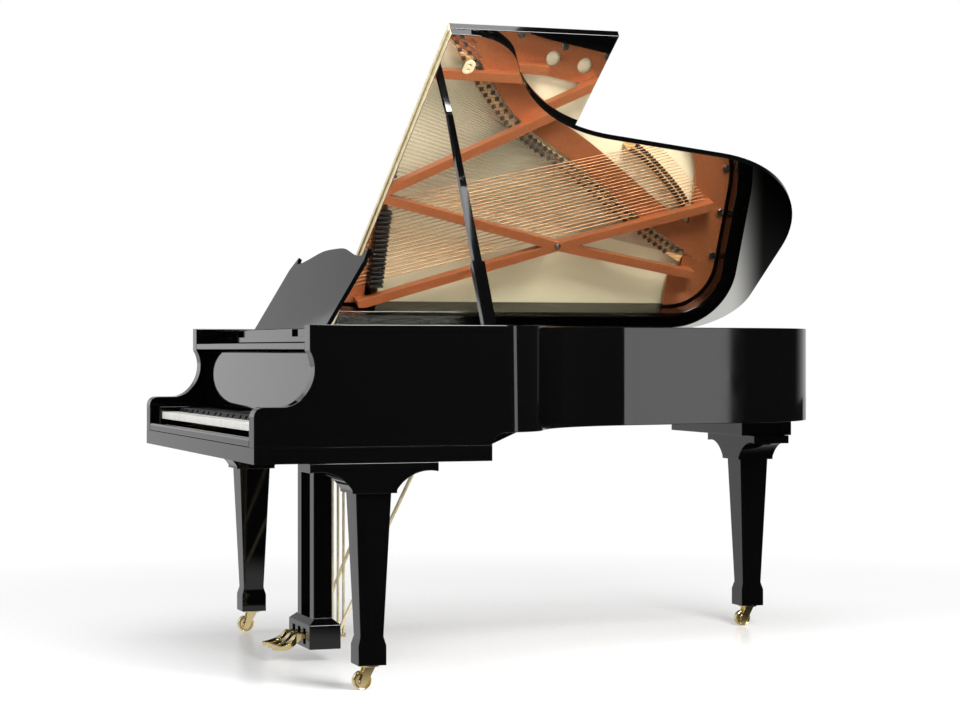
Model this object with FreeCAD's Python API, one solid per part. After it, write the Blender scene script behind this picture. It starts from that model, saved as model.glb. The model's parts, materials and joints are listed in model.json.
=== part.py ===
import FreeCAD, Part
import math
import os

# A grand piano with its lid raised, built as the separate pieces it comes apart into.
# Lengths are millimetres. While building, x runs from bass to treble about the middle of
# the case, y from the front of the arms to the tail, z up from the floor. Every piece is
# moved at the end so that the origin is under the middle of the whole object.

V = FreeCAD.Vector

# Clearances and overruns
cut_overrun = 20.0
running_gap = 0.5
moving_gap = 1.0
seat_gap = 0.3

# Case
rim_top = 993.0
rim_bottom = 697.0
rim_wall = 56.0
ledge_wall = 44.0
ledge_bottom = 705.0
keybed_bottom = 620.0
keybed_top = 663.5
keybed_depth = 670.0
rim_step_run = 50.0
shoulder_lead = 36.0
shoulder_radius = 196.0
shoulder_turn = 67.3
waist_radius = 557.0
waist_turn = 57.0
bentside_straight = 414.0
tail_radius = 481.0
tail_corner_radius = 214.0
bentside_steps = 200

# Arms and cheeks, as the curve that cuts their fronts
arm_rise = 109.0
arm_nose_radius = 27.0
arm_flat = 86.0
cheek_setback = 153.0
cheek_hollow = 12.0
cheek_foot_rise = 16.5
cheek_lip_drop = 70.0

# Frame under the soundboard
belly_rail_front = 800.0
belly_rail_width = 50.0
brace_width = 70.0
brace_height = 95.0
tail_block_front = 1855.0
tail_block_back = 2035.0
tail_block_bottom = 642.5
tail_block_treble_end = -150.0

# Soundboard, ribs and bridges
soundboard_thickness = 8.0
soundboard_drop = 88.0
rib_width = 24.0
rib_height = 22.0
rib_count = 9
bridge_width = 34.0
bridge_height = 29.0
bass_bridge_step = 9.0

# Iron plate
plate_lift = 17.0
plate_web = 12.0
plate_front = 500.0
plate_rim_gap = 8.0
plate_band = 125.0
plate_field_front = 745.0
hitch_band = 85.0
hitch_band_gap = 12.0
strut_width = 30.0
strut_rise = 8.0
strut_height = 31.0
port_radius = 27.0
port_count = 5
port_run_shares = (0.42, 0.66)
plate_bolt_radius = 9.0
plate_bolt_head_radius = 13.0
plate_bolt_head_height = 7.0
plate_bolt_count = 12
plate_bolt_run_shares = (0.10, 0.98)

# Pin block, pins and strings
pinblock_thickness = 40.0
pinblock_back = 650.0
pin_radius = 3.5
pin_height = 30.0
pin_row_spacing = 26.0
pin_row_count = 4
pin_front_row = 560.0
plain_string_radius = 0.6
wound_string_radius = 1.5
plain_note_count = 62
wound_note_count = 26
string_front = 655.0
string_tail_length = 75.0
hitch_pin_radius = 2.0
hitch_pin_height = 12.0

# Lid, its front flap and their hinges
lid_thickness = 20.0
lid_overhang = 8.0
lid_seat_gap = 3.0
lid_front = 630.0
lid_open_angle = 33.0
lid_pin_offset = 6.0
lid_pin_radius = 3.6
lid_hinge_length = 90.0
lid_hinge_leaf = 3.2
lid_hinge_drop = 45.0
lid_hinge_count = 3
flap_length = 520.0
flap_gap = 2.0
flap_pin_offset = 4.0
flap_pin_radius = 3.0
flap_leaf = 1.5

# Lid prop
prop_foot_setback = 6.0
prop_foot_drop = 16.0
prop_foot_inset = 20.0
prop_top_x = 400.0
prop_top_y = 722.0
prop_width = 26.0
prop_depth = 22.0
prop_tip_width = 18.0
prop_sleeve_share = 0.30
prop_sleeve_wall = 6.0
prop_pin_radius = 4.0
prop_bracket_width = 44.0
prop_bracket_height = 60.0
prop_bracket_wall = 5.0
prop_bracket_play = 2.5
prop_bore_gap = 1.2
prop_cup_radius = 17.0
prop_cup_thickness = 2.0
prop_cup_x = 618.0
prop_cup_stretch = 22.0

# Keyboard and action
keyslip_thickness = 18.0
keyslip_top = 690.0
key_front = 24.0
key_top = 726.0
key_body_height = 22.0
key_length = 400.0
key_head_length = 50.0
natural_spacing = 23.5
natural_count = 52
key_gap = 1.0
sharp_width = 11.0
sharp_length = 95.0
sharp_rise = 12.0
key_balance = 245.0
balance_rail_width = 30.0
keyframe_thickness = 22.0
keyframe_lift = 0.3
key_block_gap = 5.0
key_block_width = 78.0
key_block_top = 742.0
key_block_depth = 160.0
action_rail_y = 560.0
action_rail_z = 800.0
action_rail_width = 36.0
action_rail_height = 26.0
action_bracket_width = 24.0
hammer_line = 720.0
hammer_top = 880.0
hammer_head_height = 52.0
hammer_head_depth = 24.0
hammer_thickness = 9.0
hammer_shank_radius = 3.0
damper_line = 772.0
damper_length = 46.0
damper_width = 9.0
damper_height = 30.0
damper_wire_radius = 1.2
damper_count = 60
damper_tray_top = 800.0
damper_tray_height = 14.0

# Fallboard and front rail
fallboard_thickness = 18.0
fallboard_height = 172.0
fallboard_lean = 6.5
fallboard_pin_y = 186.0
fallboard_pin_z = 758.0
fallboard_pin_radius = 4.0
fallboard_pin_length = 10.0
front_rail_drop = 49.0
front_rail_height = 18.0
front_rail_back = 205.0

# Music desk
tray_front = 225.0
tray_back = 530.0
tray_board_lift = 4.0
tray_board_thickness = 12.0
tray_lip_height = 25.0
tray_lip_thickness = 18.0
tray_side_gap = 4.0
tray_rail_width = 30.0
tray_notch_width = 130.0
tray_notch_spacing = 221.0
tray_notch_end = 62.0
tray_notch_depth = 22.0
desk_pivot_y = 294.0
desk_pivot_rise = 8.0
desk_lean = 31.0
desk_thickness = 12.0
desk_half_width = 425.0
desk_height = 292.0
desk_offset = 8.5
desk_pin_radius = 3.0
desk_pin_length = 14.0
desk_ear_wall = 8.0
desk_strut_arm = 115.0
desk_strut_width = 60.0
desk_strut_thickness = 7.0

# Legs and casters
leg_x = 686.0
leg_y = 335.0
rear_leg_x = -302.0
rear_leg_y = 1948.0
leg_bracket_reach = 181.0
leg_plate_height = 26.0
leg_capital_height = 83.0
leg_capital = 126.0
leg_top_size = 100.0
leg_ankle_size = 66.0
leg_ankle_height = 146.5
leg_foot_top = 122.5
leg_foot_size = 79.0
leg_foot_bottom = 69.0
wheel_radius = 26.0
wheel_width = 22.0
wheel_trail = 20.0
axle_radius = 5.0
axle_gap = 0.08
fork_wall = 5.0
fork_plate = 5.0
fork_stem_radius = 9.0
fork_collar = 30.0

# Lyre and pedals
lyre_head_width = 260.0
lyre_head_depth = 120.0
lyre_head_height = 30.0
lyre_front = 318.0
lyre_post_width = 44.0
lyre_post_depth = 56.0
lyre_post_spacing = 146.0
lyre_box_width = 246.0
lyre_box_depth = 96.0
lyre_box_bottom = 38.0
lyre_box_side_top = 109.0
lyre_box_top = 126.0
lyre_box_chamfer = 20.0
pedal_spacing = 62.0
pedal_reach = 98.0
pedal_tail = 50.0
pedal_thickness = 11.0
pedal_stem_width = 22.0
pedal_toe_width = 44.0
pedal_toe_length = 72.0
pedal_tip_share = 0.8
pedal_height = 72.0
pedal_toe_drop = 38.0
pedal_over_shares = ((0.12, 1.06), (0.25, 1.0), (0.42, 0.64), (0.62, 0.38), (1.1, 0.28))
pedal_under_shares = ((1.1, 0.0), (0.75, 0.0), (0.5, 0.07), (0.3, 0.36), (0.12, 0.66))
pedal_throw = 5.0
pedal_pin_radius = 3.0
pedal_slot_gap = 8.0
pedal_rod_radius = 4.0
pedal_rod_hole = 7.0
pedal_rod_top = 655.0
brace_rod_radius = 5.5
brace_rod_spread = 160.0
brace_rod_top_y = 652.0
brace_rod_foot_z = 97.0
brace_rod_plate_height = 10.0

# Sizes that follow from those above: the case is as wide as its keyboard needs, and what
# stands inside it hangs from the top of the rim
keyboard_half = natural_count * natural_spacing / 2
inner_half_width = keyboard_half + key_block_gap + key_block_width
half_width = inner_half_width + rim_wall
case_width = 2 * half_width
treble_side_length = hammer_line - shoulder_lead
prop_foot_y = treble_side_length + prop_foot_setback
arm_height = keybed_top + arm_rise
cheek_foot_height = arm_height + cheek_foot_rise
cheek_lip_height = rim_top - cheek_lip_drop
soundboard_top = rim_top - soundboard_drop
long_bridge_top = soundboard_top + bridge_height
bass_bridge_top = long_bridge_top + bass_bridge_step
plate_bottom = soundboard_top + plate_lift
pinblock_bottom = plate_bottom - pinblock_thickness
strut_bottom = bass_bridge_top + strut_rise
strut_top = strut_bottom + strut_height
front_rail_top = rim_top - front_rail_drop
front_rail_bottom = front_rail_top - front_rail_height
tray_board_bottom = front_rail_top + tray_board_lift
tray_board_top = tray_board_bottom + tray_board_thickness
tray_lip_top = tray_board_top + tray_lip_height


def box(x0, x1, y0, y1, z0, z1):
    return Part.makeBox(x1 - x0, y1 - y0, z1 - z0, V(x0, y0, z0))


def rod(start, end, radius):
    return Part.makeCylinder(radius, (end - start).Length, start, end - start)


def slab(wire, bottom, top):
    face = Part.Face(wire)
    face.translate(V(0, 0, bottom))
    return face.extrude(V(0, 0, top - bottom))


def plan_polygon(points, bottom, top):
    corners = [V(x, y, 0) for x, y in points]
    return slab(Part.makePolygon(corners + corners[:1]), bottom, top)


def side_profile(points, x0, x1):
    corners = [V(x0, y, z) for y, z in points]
    return Part.Face(Part.makePolygon(corners + corners[:1])).extrude(V(x1 - x0, 0, 0))


def loft_squares(x, y, sections):
    wires = []
    for size_x, size_y, z in sections:
        wires.append(Part.makePolygon([
            V(x - size_x / 2, y - size_y / 2, z), V(x + size_x / 2, y - size_y / 2, z),
            V(x + size_x / 2, y + size_y / 2, z), V(x - size_x / 2, y + size_y / 2, z),
            V(x - size_x / 2, y - size_y / 2, z)]))
    return Part.makeLoft(wires, True, True)


def spread(first, last, count):
    return [first + (last - first) * i / (count - 1) for i in range(count)]


def curve_through(points):
    curve = Part.BSplineCurve()
    curve.interpolate([V(*point) for point in points])
    return curve


class Pen:
    """Draws a plan outline of lines and tangent arcs, kept at a distance inside its path."""

    def __init__(self, x, y, heading, inset):
        self.spot = V(x, y, 0)
        self.heading = math.radians(heading)
        self.inset = inset
        self.edges = []

    def left(self, heading):
        return V(-math.sin(heading), math.cos(heading), 0)

    def at(self, spot, heading):
        return spot + self.left(heading) * self.inset

    def line(self, length):
        start = self.at(self.spot, self.heading)
        self.spot = self.spot + V(math.cos(self.heading), math.sin(self.heading), 0) * length
        self.edges.append(Part.makeLine(start, self.at(self.spot, self.heading)))

    def arc(self, radius, turn):
        side = math.copysign(radius, turn)
        centre = self.spot + self.left(self.heading) * side
        headings = [self.heading + math.radians(turn) * share for share in (0, 0.5, 1)]
        spots = [centre - self.left(heading) * side for heading in headings]
        points = [self.at(spot, heading) for spot, heading in zip(spots, headings)]
        self.edges.append(Part.Arc(*points).toShape())
        self.spot = spots[-1]
        self.heading = headings[-1]


def case_pen(inset):
    """The outline of the case from the treble front corner round the tail to the bass front."""
    pen = Pen(half_width, 0, 90, inset)
    pen.line(treble_side_length)
    pen.arc(shoulder_radius, shoulder_turn)
    pen.arc(waist_radius, -waist_turn)
    pen.line(bentside_straight)
    pen.arc(tail_radius, 90 - shoulder_turn + waist_turn)
    pen.line(pen.spot.x + half_width - tail_corner_radius)
    pen.arc(tail_corner_radius, 90)
    pen.line(pen.spot.y)
    return pen


def case_face(inset):
    edges = case_pen(inset).edges
    first = edges[0].Vertexes[0].Point
    last = edges[-1].Vertexes[-1].Point
    return Part.Wire(edges + [Part.makeLine(last, first)])


def case_slab(inset, bottom, top):
    return slab(case_face(inset), bottom, top)


def bentside_spots(inset, run_shares, count):
    """Places along the curved side and tail, as shares of that run, at an inset from it."""
    run = Part.Wire(case_pen(inset).edges[1:6])
    spots = run.discretize(Number=bentside_steps + 1)
    return [spots[round(bentside_steps * share)] for share in spread(run_shares[0], run_shares[1], count)]


tail_end = case_slab(0, 0, rim_top).BoundBox.YMax


def arm_front_cutter():
    """What is taken away in front of the cheeks and above the arms."""
    hollow = cheek_setback + cheek_hollow
    nose_start = arm_height - arm_nose_radius
    lip_start = (cheek_foot_height + cheek_lip_height) / 2
    foot = arm_flat + (hollow - arm_flat) / 2
    nose = Part.Arc(V(0, 0, nose_start),
                    V(0, arm_nose_radius * (1 - math.sqrt(0.5)), arm_height - arm_nose_radius
                      * (1 - math.sqrt(0.5))),
                    V(0, arm_nose_radius, arm_height)).toShape()
    ledge = Part.makeLine(V(0, arm_nose_radius, arm_height), V(0, arm_flat, arm_height))
    sweep = curve_through([(0, arm_flat, arm_height), (0, foot, cheek_foot_height),
                           (0, hollow, lip_start), (0, cheek_setback, cheek_lip_height)]).toShape()
    ends = [V(0, cheek_setback, cheek_lip_height), V(0, cheek_setback, rim_top + cut_overrun),
            V(0, -cut_overrun, rim_top + cut_overrun), V(0, -cut_overrun, nose_start),
            V(0, 0, nose_start)]
    sides = [Part.makeLine(a, b) for a, b in zip(ends, ends[1:])]
    face = Part.Face(Part.Wire([nose, ledge, sweep] + sides))
    face.translate(V(-case_width, 0, 0))
    return face.extrude(V(2 * case_width, 0, 0))


def rim_step_cutter():
    """The rim is deeper over the keybed, and steps up in a hollow curve behind it."""
    rise = rim_bottom - keybed_top
    start = V(-case_width, keybed_depth, keybed_top)
    end = V(-case_width, keybed_depth + rim_step_run, rim_bottom)
    middle = V(-case_width, keybed_depth + rim_step_run * (1 - math.sqrt(0.5)),
               keybed_top + rise * math.sqrt(0.5))
    far = tail_end + cut_overrun
    low = keybed_top - cut_overrun
    ends = [end, V(-case_width, far, rim_bottom), V(-case_width, far, low),
            V(-case_width, keybed_depth, low), start]
    sides = [Part.makeLine(a, b) for a, b in zip(ends, ends[1:])]
    return Part.Face(Part.Wire([Part.Arc(start, middle, end).toShape()] + sides)).extrude(
        V(2 * case_width, 0, 0))


def outer_rim():
    inner = case_slab(rim_wall, keybed_top - cut_overrun, rim_top + cut_overrun)
    mouth = box(-inner_half_width, inner_half_width, -cut_overrun, treble_side_length / 2,
                keybed_top - cut_overrun, rim_top + cut_overrun)
    ring = case_slab(0, keybed_top, rim_top).cut(inner.fuse(mouth))
    return ring.cut(arm_front_cutter()).cut(rim_step_cutter())


ledge_top = soundboard_top - soundboard_thickness
belly_rail_back = belly_rail_front + belly_rail_width
behind_belly = box(-case_width, case_width, belly_rail_front, tail_end + cut_overrun, 0, rim_top)


def inner_rim():
    hollow = case_slab(rim_wall + ledge_wall, ledge_bottom - cut_overrun, ledge_top + cut_overrun)
    return case_slab(rim_wall, ledge_bottom, ledge_top).cut(hollow).common(behind_belly)


def belly_rail():
    inside = case_slab(rim_wall + ledge_wall, ledge_bottom, ledge_top)
    return inside.common(box(-case_width, case_width, belly_rail_front, belly_rail_back,
                             ledge_bottom, ledge_top))


brace_front_shares = (-0.62, -0.12, 0.42)
brace_back_shares = (-0.52, -0.24, 0.04)


def case_braces():
    """Three beams that fan from the belly rail to the inner rim at the tail."""
    inside = case_slab(rim_wall + ledge_wall, ledge_bottom, ledge_bottom + brace_height)
    braces = []
    for front_share, back_share in zip(brace_front_shares, brace_back_shares):
        x0 = front_share * half_width
        x1 = back_share * half_width
        beam = plan_polygon([(x0 - brace_width / 2, belly_rail_back),
                             (x0 + brace_width / 2, belly_rail_back),
                             (x1 + brace_width / 2, tail_end), (x1 - brace_width / 2, tail_end)],
                            ledge_bottom, ledge_bottom + brace_height)
        braces.append(beam.common(inside))
    return Part.makeCompound(braces)


def tail_block():
    """The block under the tail that carries the rear leg."""
    block = box(-half_width, tail_block_treble_end, tail_block_front, tail_block_back,
                tail_block_bottom, rim_bottom)
    return block.common(case_slab(rim_wall / 2, tail_block_bottom, rim_bottom))


pedal_xs = [-pedal_spacing, 0, pedal_spacing]
pedal_pin_y = lyre_front + lyre_box_depth / 2
pedal_rod_y = pedal_pin_y + lyre_box_depth / 2 + pedal_tail / 2


def keybed():
    bed = box(-half_width, half_width, 0, keybed_depth, keybed_bottom, keybed_top)
    for x in pedal_xs:
        bed = bed.cut(rod(V(x, pedal_rod_y, keybed_bottom - cut_overrun),
                          V(x, pedal_rod_y, keybed_top + cut_overrun), pedal_rod_hole))
    return bed


def keyslip():
    bar = box(-inner_half_width, inner_half_width, 0, keyslip_thickness, keybed_top, keyslip_top)
    front_top = [edge for edge in bar.Edges
                 if edge.BoundBox.YMax < running_gap and edge.BoundBox.ZMin > keyslip_top - running_gap]
    return bar.makeFillet(keyslip_thickness / 2, front_top)



def key_blocks():
    """The blocks that fill the keybed between the end keys and the arms."""
    inner = keyboard_half + key_block_gap
    block = box(inner, inner_half_width, keyslip_thickness, key_block_depth, keybed_top, key_block_top)
    return Part.makeCompound([block.mirror(V(0, 0, 0), V(1, 0, 0)), block])


def front_rail():
    return box(-inner_half_width, inner_half_width, cheek_setback + running_gap, front_rail_back,
               front_rail_bottom, front_rail_top)


# Lid pieces are laid out closed and then turned open about the pin line of the lid's hinges.
lid_bottom = rim_top + lid_seat_gap
lid_top = lid_bottom + lid_thickness
lid_pin = V(-half_width - lid_pin_offset, 0, lid_bottom)
flap_bottom = lid_top + flap_gap
flap_top = flap_bottom + lid_thickness
flap_pin_y = lid_front - flap_pin_offset
flap_pin_z = lid_top + flap_gap / 2


def open_lid(shape):
    opened = shape.copy()
    opened.rotate(lid_pin, V(0, 1, 0), -lid_open_angle)
    return opened


def lid_spot(x, y, below):
    """A point under the raised lid, given by its place on the closed lid."""
    reach = x - lid_pin.x
    turn = math.radians(lid_open_angle)
    return V(lid_pin.x + reach * math.cos(turn) + below * math.sin(turn), y,
             lid_pin.z + reach * math.sin(turn) - below * math.cos(turn))


def main_lid():
    panel = case_slab(-lid_overhang, lid_bottom, lid_top)
    behind = box(-half_width, case_width, lid_front, tail_end + case_width, lid_bottom, lid_top)
    return open_lid(panel.common(behind))


def lid_flap():
    return open_lid(box(-half_width, half_width + lid_overhang, lid_front, lid_front + flap_length,
                        flap_bottom, flap_top))


def flap_hinge():
    knuckles = rod(V(-half_width, flap_pin_y, flap_pin_z),
                   V(half_width + lid_overhang, flap_pin_y, flap_pin_z), flap_pin_radius)
    leaf = box(-half_width, half_width + lid_overhang, lid_front - flap_leaf, lid_front, lid_bottom,
               lid_top)
    return open_lid(knuckles.fuse(leaf))


def flap_leaf_strip():
    return open_lid(box(-half_width, half_width + lid_overhang, lid_front - flap_leaf + seat_gap, lid_front,
                        flap_bottom + moving_gap, flap_top))


lid_hinge_first_share = 0.14
lid_hinge_last_share = 0.82
spine_end = tail_end - tail_corner_radius
lid_hinge_ys = spread(lid_front + lid_hinge_first_share * (spine_end - lid_front),
                      lid_front + lid_hinge_last_share * (spine_end - lid_front), lid_hinge_count)


def lid_hinges():
    """Barrels and lower leaves, screwed to the bass side of the rim."""
    hinges = []
    for y in lid_hinge_ys:
        leaf = box(-half_width - lid_hinge_leaf, -half_width, y, y + lid_hinge_length,
                   rim_top - lid_hinge_drop, lid_pin.z - seat_gap)
        barrel = rod(V(lid_pin.x, y, lid_pin.z), V(lid_pin.x, y + lid_hinge_length, lid_pin.z),
                     lid_pin_radius)
        hinges.append(leaf.fuse(barrel))
    return Part.makeCompound(hinges)


def lid_hinge_leaves():
    """Upper leaves, screwed to the edge of the lid and turning with it."""
    reach = lid_pin_offset - lid_pin_radius - running_gap
    return Part.makeCompound([
        open_lid(box(-half_width - reach, -half_width, y, y + lid_hinge_length, lid_bottom, lid_top))
        for y in lid_hinge_ys])


def prop_cup():
    """The long oval plate that takes the prop when the lid is half raised."""
    ends = [V(prop_cup_x + side * prop_cup_stretch / 2, prop_top_y, lid_bottom - prop_cup_thickness)
            for side in (-1, 1)]
    plate = box(ends[0].x, ends[1].x, prop_top_y - prop_cup_radius, prop_top_y + prop_cup_radius,
                lid_bottom - prop_cup_thickness, lid_bottom)
    for end in ends:
        plate = plate.fuse(Part.makeCylinder(prop_cup_radius, prop_cup_thickness, end))
    for end in ends:
        plate = plate.cut(Part.makeCylinder(prop_cup_radius / 3, prop_cup_thickness, end))
    return open_lid(plate.removeSplitter())


prop_foot = V(inner_half_width - prop_foot_inset, prop_foot_y, rim_top - prop_foot_drop)
prop_tip = lid_spot(prop_top_x, prop_top_y, moving_gap)
prop_length = (prop_tip - prop_foot).Length


def lid_prop():
    """A tapered stick with a thicker double foot, standing on its pin and leaning into the lid."""
    sleeve = prop_length * prop_sleeve_share
    foot_round = prop_depth / 2

    def section(x, width, depth):
        corners = [V(x, -width / 2, -depth / 2), V(x, width / 2, -depth / 2),
                   V(x, width / 2, depth / 2), V(x, -width / 2, depth / 2)]
        return Part.makePolygon(corners + corners[:1])

    tip_depth = prop_depth * prop_tip_width / prop_width
    stick = Part.makeLoft([section(foot_round, prop_width, prop_depth),
                           section(prop_length - tip_depth / 2, prop_tip_width, tip_depth)], True, True)
    outer = prop_width + 2 * prop_sleeve_wall
    foot = Part.makeLoft([section(foot_round, outer, prop_depth), section(sleeve, outer, prop_depth)],
                         True, True)
    ears = box(0, foot_round, -outer / 2, outer / 2, -foot_round, foot_round)
    ears = ears.fuse(rod(V(0, -outer / 2, 0), V(0, outer / 2, 0), foot_round))
    tip = rod(V(prop_length - tip_depth / 2, -prop_tip_width / 2, 0),
              V(prop_length - tip_depth / 2, prop_tip_width / 2, 0), tip_depth / 2)
    bore = rod(V(0, -outer, 0), V(0, outer, 0), prop_pin_radius + prop_bore_gap)
    stick = stick.fuse([foot, ears, tip]).cut(bore)
    aim = FreeCAD.Rotation(V(1, 0, 0), prop_tip - prop_foot)
    side = aim.multVec(V(0, 1, 0))
    level = V(0, 1, 0) - aim.multVec(V(1, 0, 0)) * aim.multVec(V(1, 0, 0)).y
    roll = math.degrees(side.getAngle(level))
    if side.cross(level).dot(aim.multVec(V(1, 0, 0))) < 0:
        roll = -roll
    stick.rotate(V(0, 0, 0), V(1, 0, 0), roll)
    stick.Placement = FreeCAD.Placement(prop_foot, aim).multiply(stick.Placement)
    return stick


def prop_bracket():
    """A plate on the inside of the rim with two cheeks and the pin that the prop turns on."""
    outer = prop_width + 2 * prop_sleeve_wall
    cheek_in = outer / 2 + prop_bracket_play
    cheek_out = cheek_in + prop_bracket_wall
    top = prop_foot.z + prop_depth / 2
    low = top - prop_bracket_height
    plate = box(inner_half_width - prop_bracket_wall, inner_half_width,
                prop_foot_y - prop_bracket_width / 2 - prop_bracket_wall,
                prop_foot_y + prop_bracket_width / 2 + prop_bracket_wall, low, top)
    for y0, y1 in ((-cheek_out, -cheek_in), (cheek_in, cheek_out)):
        plate = plate.fuse(box(prop_foot.x - prop_depth / 2, inner_half_width, prop_foot_y + y0,
                               prop_foot_y + y1, prop_foot.z - prop_depth / 2, top))
    pin = rod(V(prop_foot.x, prop_foot_y - cheek_out, prop_foot.z),
              V(prop_foot.x, prop_foot_y + cheek_out, prop_foot.z), prop_pin_radius)
    return plate.fuse(pin).common(case_slab(rim_wall, low, top))


def soundboard():
    return case_slab(rim_wall, ledge_top, soundboard_top).common(behind_belly)


rib_slant = 50.0


def soundboard_ribs():
    """Ribs glued under the soundboard, slanting across its grain."""
    bottom = ledge_top - rib_height
    inside = case_slab(rim_wall + ledge_wall + running_gap, bottom, ledge_top).common(
        box(-case_width, case_width, belly_rail_back + running_gap, tail_end, 0, rim_top))
    reach = case_width / 2
    slope = math.tan(math.radians(rib_slant))
    ribs = []
    for y in spread(belly_rail_back - reach / 4, tail_end, rib_count + 2)[1:-1]:
        ribs.append(plan_polygon([(-reach, y - reach * slope / 2),
                                  (-reach, y - reach * slope / 2 + rib_width),
                                  (reach, y + reach * slope / 2 + rib_width),
                                  (reach, y + reach * slope / 2)],
                                 bottom, ledge_top).common(inside))
    return Part.makeCompound([solid for rib in ribs for solid in rib.Solids])


# Bridge lines in plan, as shares of half the case width and of the length to the tail
long_bridge_shares = ((0.79, 0.425), (0.55, 0.432), (0.29, 0.470), (0.145, 0.507), (-0.079, 0.582),
                      (-0.224, 0.664), (-0.459, 0.784), (-0.628, 0.876), (-0.677, 0.907))
bass_bridge_shares = ((-0.120, 0.775), (-0.164, 0.802), (-0.259, 0.844), (-0.377, 0.887), (-0.430, 0.902))


def plan_spots(shares):
    return [(x * half_width, y * tail_end, 0) for x, y in shares]


def strip_along(shares, front_offset, back_offset, low, high):
    """A strip between two distances from a curve in plan, where a plus leads to the front."""
    line = curve_through(plan_spots(shares))
    edges = []
    for offset in (front_offset, back_offset):
        points = []
        for value in spread(line.FirstParameter, line.LastParameter, 2 * len(shares)):
            along = line.tangent(value)[0]
            points.append(line.value(value) + V(-along.y, along.x, 0) * offset)
        edges.append(Part.BSplineCurve())
        edges[-1].interpolate(points)
    left, right = [edge.toShape() for edge in edges]
    ends = [Part.makeLine(left.Vertexes[i].Point, right.Vertexes[i].Point) for i in (0, -1)]
    return slab(Part.Wire(Part.__sortEdges__([left, ends[1], right, ends[0]])), low, high)


def bridge(shares, top, plate):
    """A bar of even width that follows a curve in plan, standing on the soundboard, and
    notched where it runs under the plate."""
    bar = strip_along(shares, bridge_width / 2, -bridge_width / 2, soundboard_top, top)
    return bar.common(case_slab(rim_wall, soundboard_top, top)).cut(plate)


plate_inset = rim_wall + plate_rim_gap
plate_top = plate_bottom + plate_web
# Struts in plan, as shares of half the case width and of the length to the tail
strut_shares = (((-0.385, 0.350), (-0.607, 0.673)), ((-0.607, 0.673), (-0.737, 0.917)),
                ((-0.899, 0.350), (-0.607, 0.673)), ((-0.607, 0.673), (-0.400, 0.933)),
                ((-0.385, 0.350), (0.120, 0.705)), ((0.191, 0.350), (0.176, 0.610)),
                ((0.520, 0.350), (0.450, 0.470)))
bass_gap_end_share = 0.888
bass_gap_reach_share = 0.55


def plate_strut(start, end, bottom):
    (x0, y0), (x1, y1) = start, end
    line = V(x1 - x0, y1 - y0, 0)
    across = V(-line.y, line.x, 0).normalize() * (strut_width / 2)
    along = V(line.x, line.y, 0).normalize() * (strut_width / 2)
    first = V(x0, y0, 0) - along
    last = V(x1, y1, 0) + along
    corners = [first + across, first - across, last - across, last + across]
    return plan_polygon([(corner.x, corner.y) for corner in corners], bottom, strut_top)


def iron_plate():
    """One casting: the front panel over the pin block, the band round the tail, the strip behind
    the long bridge, and the struts that cross above the strings and come down on the plate."""
    low = plate_bottom - cut_overrun
    high = strut_top + cut_overrun
    inside = case_slab(plate_inset, plate_bottom, strut_top).common(
        box(-case_width, case_width, plate_front, tail_end, plate_bottom, strut_top))
    bass_gap = box(-half_width, -half_width * bass_gap_reach_share, plate_field_front,
                   bass_gap_end_share * tail_end, low, high)
    field = case_slab(plate_inset + plate_band, low, high).fuse(bass_gap).common(
        box(-case_width, case_width, plate_field_front, tail_end, low, high))
    hitch_front = bridge_width / 2 + hitch_band_gap
    hitch_strip = strip_along(long_bridge_shares, -hitch_front, -hitch_front - hitch_band, low, high)
    footing = inside.cut(field.cut(hitch_strip))
    plate = footing.common(box(-case_width, case_width, 0, tail_end, plate_bottom, plate_top))
    pieces = []
    for start, end in strut_shares:
        ends = [(x, y) for x, y, _ in plan_spots((start, end))]
        pieces.append(plate_strut(ends[0], ends[1], strut_bottom).common(inside))
        pieces.append(plate_strut(ends[0], ends[1], plate_bottom).common(footing))
    plate = plate.fuse(pieces)
    for spot in bentside_spots(plate_inset + plate_band / 2, port_run_shares, port_count):
        plate = plate.cut(Part.makeCylinder(port_radius, 3 * plate_web,
                                            V(spot.x, spot.y, plate_bottom - plate_web)))
    return plate.removeSplitter()


def plate_bolts(bridge, fixed):
    """Bolts that stand on the soundboard's edge and carry the plate, each with a broad head."""
    bolts = []
    for spot in bentside_spots(plate_inset + plate_bolt_head_radius, plate_bolt_run_shares,
                               plate_bolt_count):
        shank = Part.makeCylinder(plate_bolt_radius, plate_bottom - soundboard_top,
                                  V(spot.x, spot.y, soundboard_top))
        head = Part.makeCylinder(plate_bolt_head_radius, plate_bolt_head_height,
                                 V(spot.x, spot.y, plate_top))
        if not shank.common(bridge).Solids and not head.common(fixed).Solids:
            bolts += [shank, head]
    return Part.makeCompound(bolts)


def pin_block():
    """The laminated block under the front of the plate, let into both sides of the rim."""
    return box(-inner_half_width, inner_half_width, plate_front, pinblock_back, pinblock_bottom,
               plate_bottom)


def front_spots(count, first_share, last_share, y):
    return [V(share * half_width, y, 0) for share in spread(first_share, last_share, count)]


plain_front_shares = (-0.36, 0.88)
wound_front_shares = (-0.88, -0.42)
plain_string_z = long_bridge_top + plain_string_radius + seat_gap
wound_string_z = bass_bridge_top + wound_string_radius + seat_gap


def string_lines(count, front_shares, shares):
    """Where each note's string starts at the front and where it meets its bridge."""
    line = curve_through(plan_spots(shares))
    ends = [line.value(value) for value in spread(line.LastParameter, line.FirstParameter, count)]
    return list(zip(front_spots(count, front_shares[0], front_shares[1], string_front), ends))


plain_lines = string_lines(plain_note_count, plain_front_shares, long_bridge_shares)
wound_lines = string_lines(wound_note_count, wound_front_shares, bass_bridge_shares)


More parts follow.
